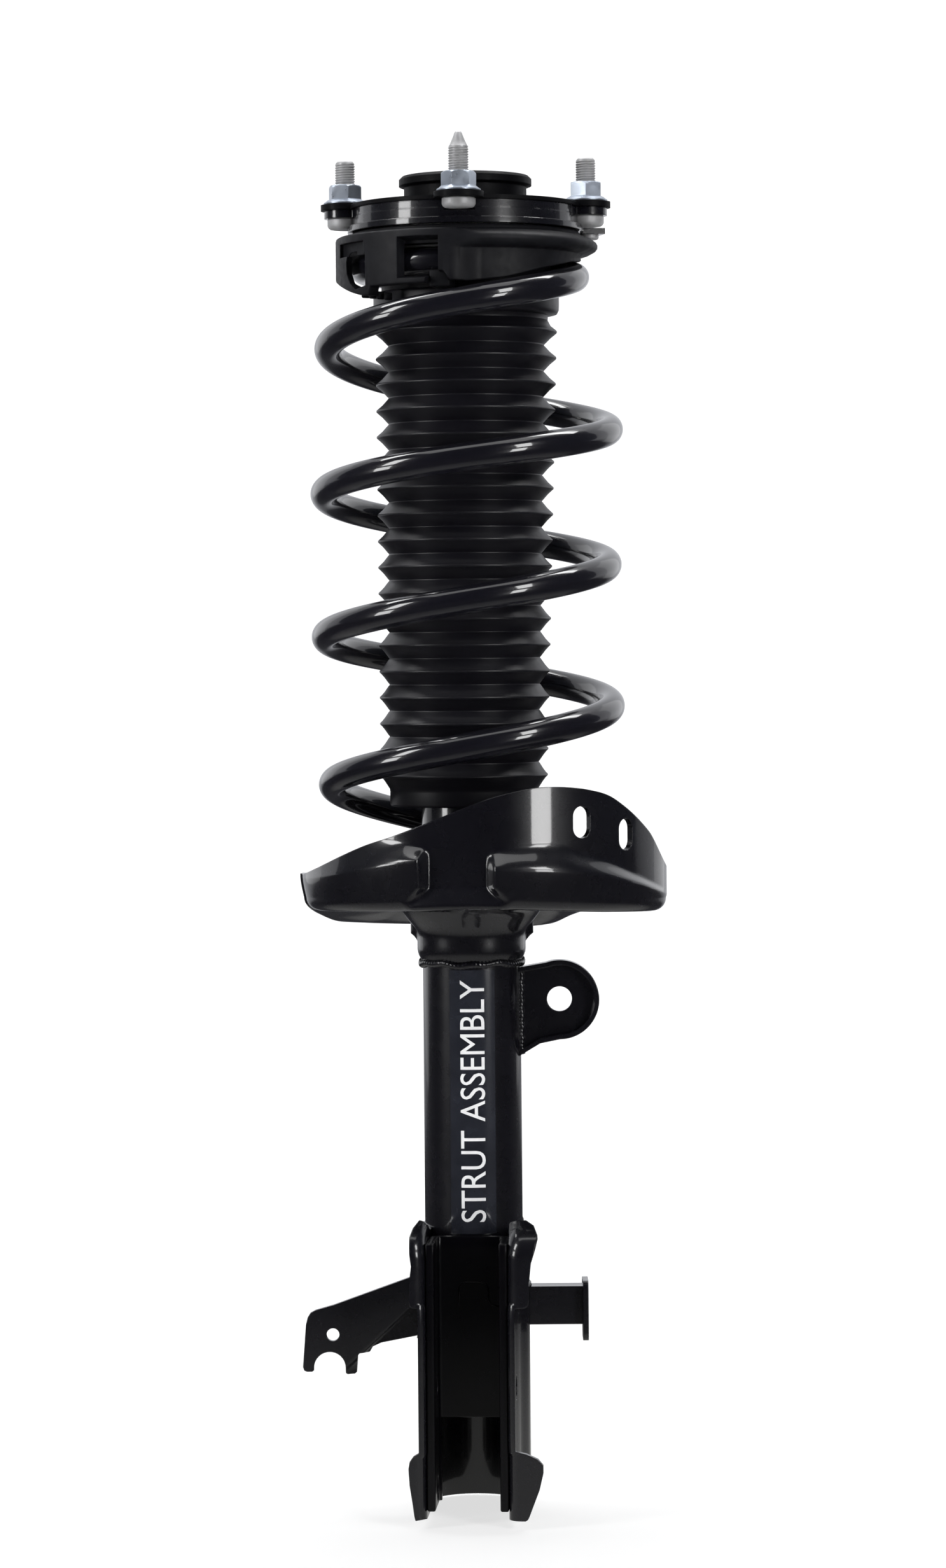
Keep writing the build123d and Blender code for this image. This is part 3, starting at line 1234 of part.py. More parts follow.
# ---------------------------------------------------------------- label
with BuildPart() as tube_label:
    with BuildSketch(Plane.XY.offset(LABEL_BOTTOM_Z)):
        with BuildLine():
            outer = CenterArc((0, 0), TUBE_R + LABEL_T, -90 - LABEL_W / 2, LABEL_W)
            inner = CenterArc((0, 0), TUBE_R, -90 - LABEL_W / 2, LABEL_W)
            Line(outer @ 0, inner @ 0)
            Line(outer @ 1, inner @ 1)
        make_face()
    extrude(amount=LABEL_TOP_Z - LABEL_BOTTOM_Z)
save(tube_label.part, "tube_label")
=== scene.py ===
import json
from math import cos, exp, log, pi, radians, sin, sqrt

import bmesh
import bpy
from mathutils import Matrix, Vector


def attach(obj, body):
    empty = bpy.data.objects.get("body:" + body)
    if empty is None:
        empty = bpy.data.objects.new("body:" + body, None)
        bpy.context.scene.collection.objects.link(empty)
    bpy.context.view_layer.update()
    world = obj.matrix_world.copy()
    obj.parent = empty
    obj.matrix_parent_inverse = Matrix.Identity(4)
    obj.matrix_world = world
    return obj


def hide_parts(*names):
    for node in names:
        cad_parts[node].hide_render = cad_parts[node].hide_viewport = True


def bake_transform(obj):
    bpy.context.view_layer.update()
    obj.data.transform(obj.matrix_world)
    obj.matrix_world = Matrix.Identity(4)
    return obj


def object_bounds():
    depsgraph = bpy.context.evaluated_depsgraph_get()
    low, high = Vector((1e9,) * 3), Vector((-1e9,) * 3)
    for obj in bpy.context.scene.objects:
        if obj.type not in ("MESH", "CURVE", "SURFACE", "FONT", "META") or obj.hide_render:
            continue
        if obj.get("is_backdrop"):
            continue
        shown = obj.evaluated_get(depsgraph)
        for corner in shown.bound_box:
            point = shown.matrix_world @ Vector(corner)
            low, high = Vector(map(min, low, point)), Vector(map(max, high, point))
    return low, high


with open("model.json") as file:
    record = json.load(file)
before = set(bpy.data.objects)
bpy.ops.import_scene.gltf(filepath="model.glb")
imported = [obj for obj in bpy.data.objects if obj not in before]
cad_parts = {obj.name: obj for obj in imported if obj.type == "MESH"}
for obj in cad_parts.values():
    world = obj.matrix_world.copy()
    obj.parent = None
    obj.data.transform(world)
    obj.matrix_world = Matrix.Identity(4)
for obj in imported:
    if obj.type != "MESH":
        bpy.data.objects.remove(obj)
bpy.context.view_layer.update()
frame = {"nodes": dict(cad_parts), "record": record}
NODES = frame["nodes"]
MM = 0.001


# ------------------------------------------------------------------ materials
def new_material(name):
    mat = bpy.data.materials.new(name)
    mat.use_nodes = True
    tree = mat.node_tree
    return mat, tree, tree.nodes["Principled BSDF"]


def add_node(tree, kind, **values):
    """A shader node with its inputs set; an underscore stands for a space in an input's name."""
    node = tree.nodes.new("ShaderNode" + kind)
    for name, value in values.items():
        node.inputs[name.replace("_", " ")].default_value = value
    return node


def noise(tree, scale, detail=4.0):
    node = add_node(tree, "TexNoise", Scale=scale, Detail=detail, Roughness=0.55, Distortion=0.0)
    tree.links.new(add_node(tree, "TexCoord").outputs["Object"], node.inputs["Vector"])
    return node.outputs["Fac"]


def ramp(tree, fac, stops):
    """Colour that runs between two (place, (r, g, b)) stops."""
    node = add_node(tree, "ValToRGB")
    for element, (place, colour) in zip(node.color_ramp.elements, stops):
        element.position = place
        element.color = (*colour, 1)
    tree.links.new(fac, node.inputs["Fac"])
    return node.outputs["Color"]


def spread(tree, fac, low, high):
    node = add_node(tree, "MapRange", From_Min=0.3, From_Max=0.7, To_Min=low, To_Max=high)
    tree.links.new(fac, node.inputs["Value"])
    return node.outputs["Result"]


def soft_edge(tree, radius):
    node = add_node(tree, "Bevel", Radius=radius)
    node.samples = 4
    return node.outputs["Normal"]


def bump(tree, height, strength, distance, normal=None):
    node = add_node(tree, "Bump", Strength=strength, Distance=distance)
    tree.links.new(height, node.inputs["Height"])
    if normal is not None:
        tree.links.new(normal, node.inputs["Normal"])
    return node.outputs["Normal"]


def finish_material(
    name, dark, light, grain, rough, metallic=0.0, coat=0.0, bump_scale=900.0,
    bump_strength=0.15, bump_distance=0.0002, edge=0.0006, specular=0.5,
):
    """A painted, moulded or metal finish: mottled colour, uneven roughness, fine bump and softened edges."""
    mat, tree, shader = new_material(name)
    colour = ramp(tree, noise(tree, grain), [(0.3, dark), (0.7, light)])
    tree.links.new(colour, shader.inputs["Base Color"])
    roughness = spread(tree, noise(tree, grain * 2.3, 6.0), *rough)
    tree.links.new(roughness, shader.inputs["Roughness"])
    shader.inputs["Metallic"].default_value = metallic
    shader.inputs["Specular IOR Level"].default_value = specular
    shader.inputs["Coat Weight"].default_value = coat
    shader.inputs["Coat Roughness"].default_value = 0.06
    rounded = soft_edge(tree, edge) if edge else None
    surface = bump(tree, noise(tree, bump_scale, 3.0), bump_strength, bump_distance, rounded)
    tree.links.new(surface, shader.inputs["Normal"])
    if coat and rounded is not None:
        tree.links.new(surface, shader.inputs["Coat Normal"])
    return mat


BLACK_PAINT = finish_material(
    "gloss_black_paint", (0.0038, 0.0036, 0.0055), (0.0050, 0.0048, 0.0070), 45.0, (0.24, 0.30),
    coat=1.0, bump_scale=420.0, bump_strength=0.05, bump_distance=0.00002, edge=0.0008, specular=0.3,
)
SPRING_PAINT = finish_material(
    "gloss_black_spring", (0.0050, 0.0048, 0.0075), (0.0068, 0.0066, 0.0098), 22.0, (0.22, 0.27),
    coat=1.0, bump_scale=240.0, bump_strength=0.03, bump_distance=0.00001, edge=0, specular=0.2,
)
MOUNT_PAINT = finish_material(
    "satin_black_coating", (0.0014, 0.0014, 0.0021), (0.0027, 0.0027, 0.0038), 90.0, (0.46, 0.6),
    coat=0.02, bump_scale=700.0, bump_strength=0.1, bump_distance=0.0002, edge=0.0008, specular=0.09,
)
# darker copy of the black paint: painted shade for the inside of the knuckle bracket's channel
SHADED_PAINT = finish_material(
    "black_paint_painted_shade_inside_channel", (0.0009, 0.0008, 0.0015), (0.0018, 0.0015, 0.0026), 45.0, (0.26, 0.36),
    coat=0.3, bump_scale=420.0, bump_strength=0.05, bump_distance=0.00002, edge=0.001, specular=0.14,
)
ZINC = finish_material(
    "zinc_plate", (0.38, 0.42, 0.49), (0.49, 0.54, 0.61), 90.0, (0.26, 0.40),
    metallic=0.8, bump_scale=1400.0, bump_strength=0.1, edge=0.0004,
)
DULL_STEEL = finish_material(
    "dull_zinc_steel", (0.34, 0.34, 0.34), (0.46, 0.46, 0.47), 140.0, (0.44, 0.58),
    metallic=0.5, bump_scale=1600.0, bump_strength=0.16, edge=0.0004,
)
CHROME = finish_material(
    "ground_chrome", (0.75, 0.75, 0.77), (0.85, 0.85, 0.87), 40.0, (0.05, 0.1),
    metallic=1.0, bump_scale=2000.0, bump_strength=0.03, edge=0.0003,
)
ALLOY = finish_material(
    "sintered_alloy", (0.45, 0.45, 0.46), (0.62, 0.62, 0.63), 200.0, (0.3, 0.5),
    metallic=1.0, bump_scale=2500.0, bump_strength=0.3, edge=0.0003,
)
BOOT_RUBBER = finish_material(
    "charcoal_rubber", (0.0054, 0.0050, 0.0076), (0.0078, 0.0074, 0.0106), 45.0, (0.34, 0.44),
    bump_scale=1200.0, bump_strength=0.06, edge=0, specular=0.4,
)
RUBBER = finish_material(
    "black_rubber", (0.018, 0.018, 0.019), (0.034, 0.034, 0.035), 80.0, (0.5, 0.72),
    bump_scale=1500.0, bump_strength=0.25, edge=0.0005, specular=0.35,
)
SEAT_PLASTIC = finish_material(
    "glass_filled_plastic", (0.0050, 0.0050, 0.0068), (0.0086, 0.0088, 0.0112), 110.0, (0.44, 0.58),
    bump_scale=1300.0, bump_strength=0.14, edge=0.0008, specular=0.18,
)
PALE_PLASTIC = finish_material(
    "pale_cage_plastic", (0.6, 0.57, 0.48), (0.75, 0.72, 0.62), 90.0, (0.35, 0.5),
    bump_scale=900.0, bump_strength=0.1, edge=0.0003,
)
FOAM = finish_material(
    "urethane_foam", (0.50, 0.40, 0.20), (0.66, 0.55, 0.32), 160.0, (0.6, 0.8),
    bump_scale=2600.0, bump_strength=0.5, edge=0,
)


def label_material():
    """Dark glossy film."""
    mat, tree, shader = new_material("label_film")
    base = ramp(tree, noise(tree, 60.0), [(0.3, (0.012, 0.013, 0.018)), (0.7, (0.022, 0.024, 0.032))])
    tree.links.new(base, shader.inputs["Base Color"])
    shader.inputs["Roughness"].default_value = 0.16
    shader.inputs["Coat Weight"].default_value = 0.6
    shader.inputs["Coat Roughness"].default_value = 0.03
    return mat


LABEL = label_material()
PRINT_WHITE = finish_material(
    "label_white_print", (0.80, 0.80, 0.80), (0.90, 0.90, 0.90), 200.0, (0.35, 0.45),
    bump_scale=1500.0, bump_strength=0.03, edge=0,
)

BY_SLOT = {
    "black_paint": BLACK_PAINT,
    "spring_paint": SPRING_PAINT,
    "zinc": ZINC,
    "steel": DULL_STEEL,
    "chrome_rod": CHROME,
    "rubber": RUBBER,
    "black_plastic": SEAT_PLASTIC,
    "pale_plastic": PALE_PLASTIC,
    "foam": FOAM,
    "label": LABEL,
    "alloy": ALLOY,
}
BY_NODE = {
    "mount_upper_plate": MOUNT_PAINT,
    "mount_crown": MOUNT_PAINT,
}
SLOT_OF = {row["node"]: row["material_slot"] for row in frame["record"]["subparts"]}
for node_name, node_object in NODES.items():
    material = BY_NODE.get(node_name, BY_SLOT[SLOT_OF[node_name]])
    node_object.data.materials.clear()
    node_object.data.materials.append(material)


# ------------------------------------------------------------------ mesh helpers
def add_piece(name, verts, faces, material, body, slot, replaces=(), smooth=True):
    mesh = bpy.data.meshes.new(name)
    mesh.from_pydata([tuple(v) for v in verts], [], faces)
    mesh.validate()
    for polygon in mesh.polygons:
        polygon.use_smooth = smooth
    mesh.materials.append(material)
    piece = bpy.data.objects.new(name, mesh)
    bpy.context.scene.collection.objects.link(piece)
    if body:
        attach(piece, body)
    if replaces:
        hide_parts(*replaces)
    return piece


def sharp_by_angle(piece, degrees_limit):
    """Smooth shading that stays crisp at edges sharper than the limit."""
    limit = radians(degrees_limit)
    mesh = piece.data
    faces_of = {}
    for polygon in mesh.polygons:
        for key in polygon.edge_keys:
            faces_of.setdefault(key, []).append(polygon.normal)
    for edge in mesh.edges:
        normals = faces_of.get(edge.key, [])
        if len(normals) == 2 and normals[0].angle(normals[1], 0) > limit:
            edge.use_edge_sharp = True


def rings_to_faces(rings, count, close_ends=False, wrap=False):
    """Quads between rings of count points each; optional end caps, or a wrap from last to first."""
    faces = []
    last = rings if wrap else rings - 1
    for i in range(last):
        j = (i + 1) % rings
        for k in range(count):
            n = (k + 1) % count
            faces.append((i * count + k, i * count + n, j * count + n, j * count + k))
    if close_ends:
        faces.append(tuple(reversed(range(count))))
        faces.append(tuple((rings - 1) * count + k for k in range(count)))
    return faces


def ring_point(centre, r, a, z):
    return ((centre[0] + r * cos(a)) * MM, (centre[1] + r * sin(a)) * MM, z * MM)


def lathe_data(profile, segments, centre=(0.0, 0.0)):
    """A closed profile of (r, z) in mm, turned about a vertical line."""
    verts = [ring_point(centre, r, 2 * pi * k / segments, z) for r, z in profile for k in range(segments)]
    return verts, rings_to_faces(len(profile), segments, wrap=True)


def lathe_piece(name, profile, segments, material, body, slot, replaced, limit=40):
    piece = add_piece(name, *lathe_data(profile, segments), material, body, slot, (replaced,))
    sharp_by_angle(piece, limit)


def open_grid(rows, count):
    """Quads of an open sheet whose rows have count points each."""
    return [
        (i * count + k, (i + 1) * count + k, (i + 1) * count + k + 1, i * count + k + 1)
        for i in range(rows - 1) for k in range(count - 1)
    ]


def settle(piece, body, replaced, limit):
    """Puts a finished pressing or moulding on its body, shaded smooth but crisp at sharp edges."""
    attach(piece, body)
    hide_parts(replaced)
    for polygon in piece.data.polygons:
        polygon.use_smooth = True
    sharp_by_angle(piece, limit)


def join(*parts):
    """Several (verts, faces) pairs as one."""
    verts, faces = [], []
    for part_verts, part_faces in parts:
        base = len(verts)
        verts += part_verts
        faces += [tuple(base + i for i in face) for face in part_faces]
    return verts, faces


def hermite(stations, at):
    """Smooth value from (place, value) stations."""
    for n in range(len(stations) - 1):
        if at <= stations[n + 1][0]:
            break
    (a0, v0), (a1, v1) = stations[n], stations[n + 1]
    before = stations[max(n - 1, 0)]
    after = stations[min(n + 2, len(stations) - 1)]
    m0 = (v1 - before[1]) / (a1 - before[0])
    m1 = (after[1] - v0) / (after[0] - a0)
    span = a1 - a0
    s = (at - a0) / span
    return (
        (2 * s**3 - 3 * s**2 + 1) * v0 + (s**3 - 2 * s**2 + s) * span * m0
        + (3 * s**2 - 2 * s**3) * v1 + (s**3 - s**2) * span * m1
    )


def between(stations, at):
    """Straight-line value from (place, value) stations."""
    for (a0, v0), (a1, v1) in zip(stations, stations[1:]):
        if at <= a1:
            return v0 + (v1 - v0) * max(0.0, at - a0) / (a1 - a0)
    return stations[-1][1]


def polar(radius, degrees_around):
    return radius * cos(radians(degrees_around)), radius * sin(radians(degrees_around))


# ------------------------------------------------------------------ coil spring
WIRE_R = 7.0
SPRING_HEIGHTS = [
    (-460, -353.6), (-405, -347.4), (-360, -342.6), (-315, -339.1), (-270, -338.9), (-225, -338.8),
    (-180, -336.5), (-135, -328.5), (-90, -316.5), (0, -291.4), (180, -252.1), (360, -217.3), (540, -181.2),
    (720, -145.7), (900, -113.5), (1080, -72.8), (1170, -53.5), (1260, -37.0), (1350, -33.0), (1430, -33.0),
    (1520, -33.0),
]
SPRING_RADII = [
    (-460, 69.5), (0, 69.0), (180, 71.0), (360, 72.0), (540, 70.0), (720, 72.0), (900, 71.2), (1080, 69.5),
    (1170, 66.5), (1260, 54.5), (1350, 51.4), (1520, 51.4),
]
SPRING_START, SPRING_END = SPRING_HEIGHTS[0][0], SPRING_HEIGHTS[-1][0]
DEAD_BOTTOM, DEAD_TOP = -230.0, 1300.0
SPRING_STEP = 3
SPRING_SIDES = 36


def spring_point(turn):
    x, y = polar(hermite(SPRING_RADII, turn), 180 + turn)
    return Vector((x, y, hermite(SPRING_HEIGHTS, turn))) * MM


def build_spring():
    verts, weights = [], []
    turns = [SPRING_START + SPRING_STEP * n for n in range((SPRING_END - SPRING_START) // SPRING_STEP + 1)]
    tips = (0, len(turns) - 1)
    for n, turn in enumerate(turns):
        here = spring_point(turn)
        ahead, behind = min(turn + 0.5, SPRING_END), max(turn - 0.5, SPRING_START)
        tangent = (spring_point(ahead) - spring_point(behind)).normalized()
        outward = Vector((here.x, here.y, 0)).normalized()
        outward = (outward - tangent * outward.dot(tangent)).normalized()
        upward = tangent.cross(outward)
        radius = WIRE_R * MM * (0.9 if n in tips else 1.0)
        share = (DEAD_TOP - turn) / (DEAD_TOP - DEAD_BOTTOM)
        for k in range(SPRING_SIDES):
            a = 2 * pi * k / SPRING_SIDES
            verts.append(here + outward * radius * cos(a) + upward * radius * sin(a))
            weights.append(min(1.0, max(0.0, share)))
    faces = rings_to_faces(len(turns), SPRING_SIDES, close_ends=True)
    spring = add_piece("coil_spring_wire", verts, faces, SPRING_PAINT, None, "spring_paint", ("coil_spring",))
    sharp_by_angle(spring, 40)
    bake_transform(spring)


build_spring()

# ------------------------------------------------------------------ dust boot
BOOT_FOLDS = 18
BOOT_FIRST_TIP = -64.9
BOOT_PITCH = 13.05
BOOT_TIP_R = (45.6, 42.0)
BOOT_VALLEY_R = (39.2, 37.4)
BOOT_WALL = 1.6
BOOT_SEGMENTS = 112
BOOT_LEAN = -3.0
BOOT_FIRST_FOLD_Z, BOOT_LAST_FOLD_Z = -56.0, -293.5


def boot_profile():
    """Outer and inner (r, z) lines: rounded crests, tighter valleys, a plain cuff at each end."""
    outer = [(45.6, -45.0), (46.4, -45.5), (46.6, -46.4), (46.6, -51.0), (46.5, -54.0), (45.6, -55.8)]
    outer += [(42.0, -56.6), (40.0, -57.3)]
    for fold in range(BOOT_FOLDS):
        share = fold / (BOOT_FOLDS - 1)
        z = BOOT_FIRST_TIP - fold * BOOT_PITCH
        valley = BOOT_VALLEY_R[0] + share * (BOOT_VALLEY_R[1] - BOOT_VALLEY_R[0])
        tip = BOOT_TIP_R[0] + share * (BOOT_TIP_R[1] - BOOT_TIP_R[0])
        half = BOOT_PITCH / 2
        if fold:
            outer += [
                (valley + 0.45, z + half + 0.6), (valley + 0.12, z + half + 0.3), (valley, z + half),
                (valley + 0.12, z + half - 0.3), (valley + 0.45, z + half - 0.6),
            ]
        flank = [(valley + 0.5 * (tip - valley), half * 0.46), (tip - 0.85, half * 0.17)]
        crest = [(tip - 0.8 + 0.8 * cos(radians(a)), 0.85 * sin(radians(a))) for a in (66, 44, 22, 0)]
        rise = flank + crest
        outer += [(r, z + up) for r, up in rise] + [(r, z - up) for r, up in reversed(rise[:-1])]
    outer += [(38.0, -292.4), (37.4, -293.3), (37.2, -294.6), (37.2, -300.9), (36.9, -301.7), (36.3, -302.0)]
    inner = [(max(r - BOOT_WALL, 35.6), z) for r, z in outer[8:-4]]
    inner = [(42.6, -45.0), (42.6, -52.0), (44.8, -54.8), (41.0, -57.0)] + inner + [(35.6, -302.0)]
    return outer, inner


def build_boot():
    outer, inner = boot_profile()
    profile = outer + list(reversed(inner))
    verts, faces = lathe_data(profile, BOOT_SEGMENTS)
    drop = BOOT_FIRST_FOLD_Z - BOOT_LAST_FOLD_Z
    levels = [z for _, z in profile for _ in range(BOOT_SEGMENTS)]
    shares = [min(1.0, max(0.0, (BOOT_FIRST_FOLD_Z - z) / drop)) for z in levels]
    verts = [(x + BOOT_LEAN * share * MM, y, z) for (x, y, z), share in zip(verts, shares)]
    boot = add_piece("dust_boot_pleated", verts, faces, BOOT_RUBBER, None, "rubber", ("dust_boot",))
    sharp_by_angle(boot, 60)
    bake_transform(boot)


build_boot()

# ------------------------------------------------------------------ studs and nuts
STUD_CIRCLE_R = 60.5
PILOT_ANGLE = -93.0
STUD_POINTS = [polar(STUD_CIRCLE_R, PILOT_ANGLE + 90 * n) for n in range(4)]
THREAD_PITCH = 1.25
THREAD_DEPTH = 0.62
THREAD_R = 5.0


def threaded_shank(centre, foot, top, point):
    """A helical thread from foot to top, ending in point, a list of (radius, z)."""
    segments = 36
    rows = int((top - foot) / (THREAD_PITCH / 6)) + 1
    verts = []
    for i in range(rows):
        z = foot + i * (top - foot) / (rows - 1)
        run_out = min(1.0, (top - z) / THREAD_PITCH)
        for k in range(segments):
            phase = (z / THREAD_PITCH - k / segments) % 1.0
            tooth = 1 - abs(2 * phase - 1)
            r = THREAD_R - THREAD_DEPTH * (1 - min(1.0, tooth * 1.25)) * run_out - 0.25 * (1 - run_out)
            verts.append(ring_point(centre, r, 2 * pi * k / segments, z))
    verts += [ring_point(centre, r, 2 * pi * k / segments, z) for r, z in point for k in range(segments)]
    return verts, rings_to_faces(rows + len(point), segments, close_ends=True)


def stud_head(centre, radius, top, height):
    profile = [
        (0.01, top), (radius - 0.5, top), (radius, top - 0.5), (radius, top - height + 2.0),
        (radius - 0.5, top - height + 0.9), (radius - 1.4, top - height + 0.2),
        (radius - 2.6, top - height), (0.01, top - height),
    ]
    return lathe_data(profile, 40, centre)


def build_studs():
    plain = []
    for centre in STUD_POINTS[1:]:
        plain.append(threaded_shank(centre, -0.5, 20.8, [(4.3, 21.5), (3.9, 21.9), (3.2, 22.0)]))
        plain.append(stud_head(centre, 9.0, -7.0, 5.4))
    studs = add_piece("mount_studs_threaded", *join(*plain), DULL_STEEL, "mount", "steel", ("mount_studs",))
    sharp_by_angle(studs, 42)
    tip = [(4.35, 22.6), (3.4, 24.7), (2.5, 26.9), (1.9, 28.6), (1.4, 29.3), (0.8, 29.5)]
    pilot = join(
        threaded_shank(STUD_POINTS[0], -0.5, 22.2, tip),
        stud_head(STUD_POINTS[0], 8.3, -3.0, 5.0),
    )
    piece = add_piece("pilot_stud_pointed", *pilot, DULL_STEEL, "mount", "steel", ("pilot_stud",))
    sharp_by_angle(piece, 42)


build_studs()


def hex_radius(angle, across_flats):
    sector = (angle % (pi / 3)) - pi / 6
    return across_flats / 2 / cos(sector)


def nut(centre, across_flats, foot, height, flange_r, flange_h, bore, turn):
    """A flange nut with a coned flange and corner chamfers on the hexagon."""
    segments = 72
    top = foot + height
    corner = across_flats / sqrt(3)
    rows = [
        (bore, foot, 0), (flange_r - 0.6, foot, 0), (flange_r - 0.1, foot + 0.3, 0),
        (flange_r, foot + 0.8, 0), (flange_r - 0.15, foot + 1.15, 0), (flange_r - 1.0, foot + 1.6, 0),
        (corner + 0.5, foot + flange_h + 0.1, 0), (corner + 0.1, foot + flange_h + 0.6, 1),
        (corner + 1, foot + flange_h + 1.4, 1), (corner + 1, top - 1.5, 1), (corner - 0.15, top - 0.95, 1),
        (corner - 0.7, top - 0.5, 1), (across_flats / 2 - 0.1, top - 0.12, 1),
        (across_flats / 2 - 0.7, top, 1), (bore + 0.9, top, 0), (bore, top - 0.8, 0),
    ]
    verts = []
    for limit, z, is_hex in rows:
        for k in range(segments):
            a = 2 * pi * k / segments
            r = min(limit, hex_radius(a, across_flats)) if is_hex else limit
            verts.append(ring_point(centre, r, a + turn, z))
    return verts, rings_to_faces(len(rows), segments, wrap=True)


NUT_TURNS = (0.12, 0.5, 0.3, 0.72)
NUT_SIZE = {
    "across_flats": 15.0, "foot": 0.0, "height": 10.0, "flange_r": 10.9, "flange_h": 2.2, "bore": 4.7,
}
nuts = add_piece(
    "flange_nuts_formed", *join(*[nut(c, turn=t, **NUT_SIZE) for c, t in zip(STUD_POINTS, NUT_TURNS)]),
    ZINC, "mount", "zinc", ("flange_nuts",),
)
sharp_by_angle(nuts, 32)

# ------------------------------------------------------------------ modelling helpers
def smooth(low, high, value):
    t = min(1.0, max(0.0, (value - low) / (high - low)))
    return t * t * (3 - 2 * t)


def bake(piece):
    """Keeps the evaluated mesh and drops the modifiers that made it."""
    graph = bpy.context.evaluated_depsgraph_get()
    mesh = bpy.data.meshes.new_from_object(piece.evaluated_get(graph))
    piece.modifiers.clear()
    piece.data = mesh


def thicken(piece, millimetres):
    shell = piece.modifiers.new("thickness", "SOLIDIFY")
    shell.thickness = millimetres * MM
    shell.offset = -1
    shell.use_even_offset = False
    bake(piece)


def cut(piece, *cutters):
    """Cuts closed cutter meshes, given as (verts, faces), out of a piece."""
    for verts, faces in cutters:
        mesh = bpy.data.meshes.new("cutter")
        mesh.from_pydata([tuple(v) for v in verts], [], faces)
        tool = bpy.data.objects.new("cutter", mesh)
        bpy.context.scene.collection.objects.link(tool)
        carve = piece.modifiers.new("carve", "BOOLEAN")
        carve.operation = "DIFFERENCE"
        carve.solver = "EXACT"
        carve.object = tool
        bpy.context.view_layer.update()
        bake(piece)
        bpy.data.objects.remove(tool, do_unlink=True)


def radial_prism(centre, angle, outline, near, far, taper=1.0):
    """A prism pointing away from a vertical line; outline is (sideways, z) in mm, seen from outside."""
    out = Vector((cos(radians(angle)), sin(radians(angle)), 0))
    side = Vector((-out.y, out.x, 0))
    verts = []
    middle_z = sum(z for _, z in outline) / len(outline)
    for reach, size in ((near, taper), (far, 1.0)):
        for s, z in outline:
            p = out * reach + side * s * size
            height = middle_z + (z - middle_z) * size
            verts.append(((centre[0] + p.x) * MM, (centre[1] + p.y) * MM, height * MM))
    n = len(outline)
    faces = [tuple(reversed(range(n))), tuple(range(n, 2 * n))]
    faces += [(k, (k + 1) % n, n + (k + 1) % n, n + k) for k in range(n)]
    return verts, faces


def obround(width, height, at, steps=12):
    """A slot outline with round ends, its middle at that height."""
    r = width / 2
    half = height / 2 - r
    points = []
    for start, shift in ((0.0, half), (pi, -half)):
        for n in range(steps + 1):
            a = start + pi * n / steps
            points.append((r * cos(a), at + shift + r * sin(a)))
    return points


def polar_skin(name, angles, profile_at, material, slot, centre=(0.0, 0.0), closed=False):
    """Skin whose (r, z) profile changes with the angle, always with the same number of points."""
    verts, count = [], 0
    for angle in angles:
        profile = profile_at(angle)
        count = len(profile)
        for r, z in profile:
            x, y = polar(r, angle)
            verts.append(((centre[0] + x) * MM, (centre[1] + y) * MM, z * MM))
    faces = []
    rows = count if closed else count - 1
    for k in range(len(angles)):
        n = (k + 1) % len(angles)
        for i in range(rows):
            j = (i + 1) % count
            faces.append((k * count + i, k * count + j, n * count + j, n * count + i))
    return add_piece(name, verts, faces, material, None, slot)


def angles_around(coarse, fine, start, end):
    """Angles from -180 up to 180, closer together between start and end."""
    angles, angle = [], -180.0
    while angle < 180 - coarse / 2:
        angles.append(angle)
        angle += fine if start <= angle < end else coarse
    return angles


def tube_along(points, radii, sides):
    """A round bar through points (mm), one radius per point."""
    verts = []
    for n, here in enumerate(points):
        ahead = Vector(points[min(n + 1, len(points) - 1)]) - Vector(points[max(n - 1, 0)])
        ahead.normalize()
        across = ahead.orthogonal() if abs(ahead.z) > 0.9 else ahead.cross(Vector((0, 0, 1)))
        across.normalize()
        other = ahead.cross(across)
        for k in range(sides):
            a = 2 * pi * k / sides
            verts.append((Vector(here) + (across * cos(a) + other * sin(a)) * radii[n]) * MM)
    return verts, rings_to_faces(len(points), sides, close_ends=True)


WELD_RIPPLE = 1.9
WELD_STEP = 0.45


def weld_bead(name, path, size, closed=False):
    """A rippled fillet of weld along a path of points in mm."""
    points, radii = [], []
    travelled = 0.0
    steps = path + [path[0]] if closed else path
    for here, there in zip(steps, steps[1:]):
        gap = (Vector(there) - Vector(here)).length
        pieces = max(2, int(gap / WELD_STEP))
        for n in range(pieces):
            run = travelled + gap * n / pieces
            points.append(Vector(here).lerp(Vector(there), n / pieces))
            wave = sin(2 * pi * run / WELD_RIPPLE)
            drift = 0.5 + 0.5 * sin(run * 0.37 + 1.3)
            radii.append(size * (0.92 + 0.10 * wave + 0.10 * drift))
        travelled += gap
    if closed:
        points.append(points[0])
        radii.append(radii[0])
    else:
        radii[0] = radii[-1] = size * 0.5
    add_piece(name, *tube_along(points, radii, 10), BLACK_PAINT, "strut_body", "black_paint")

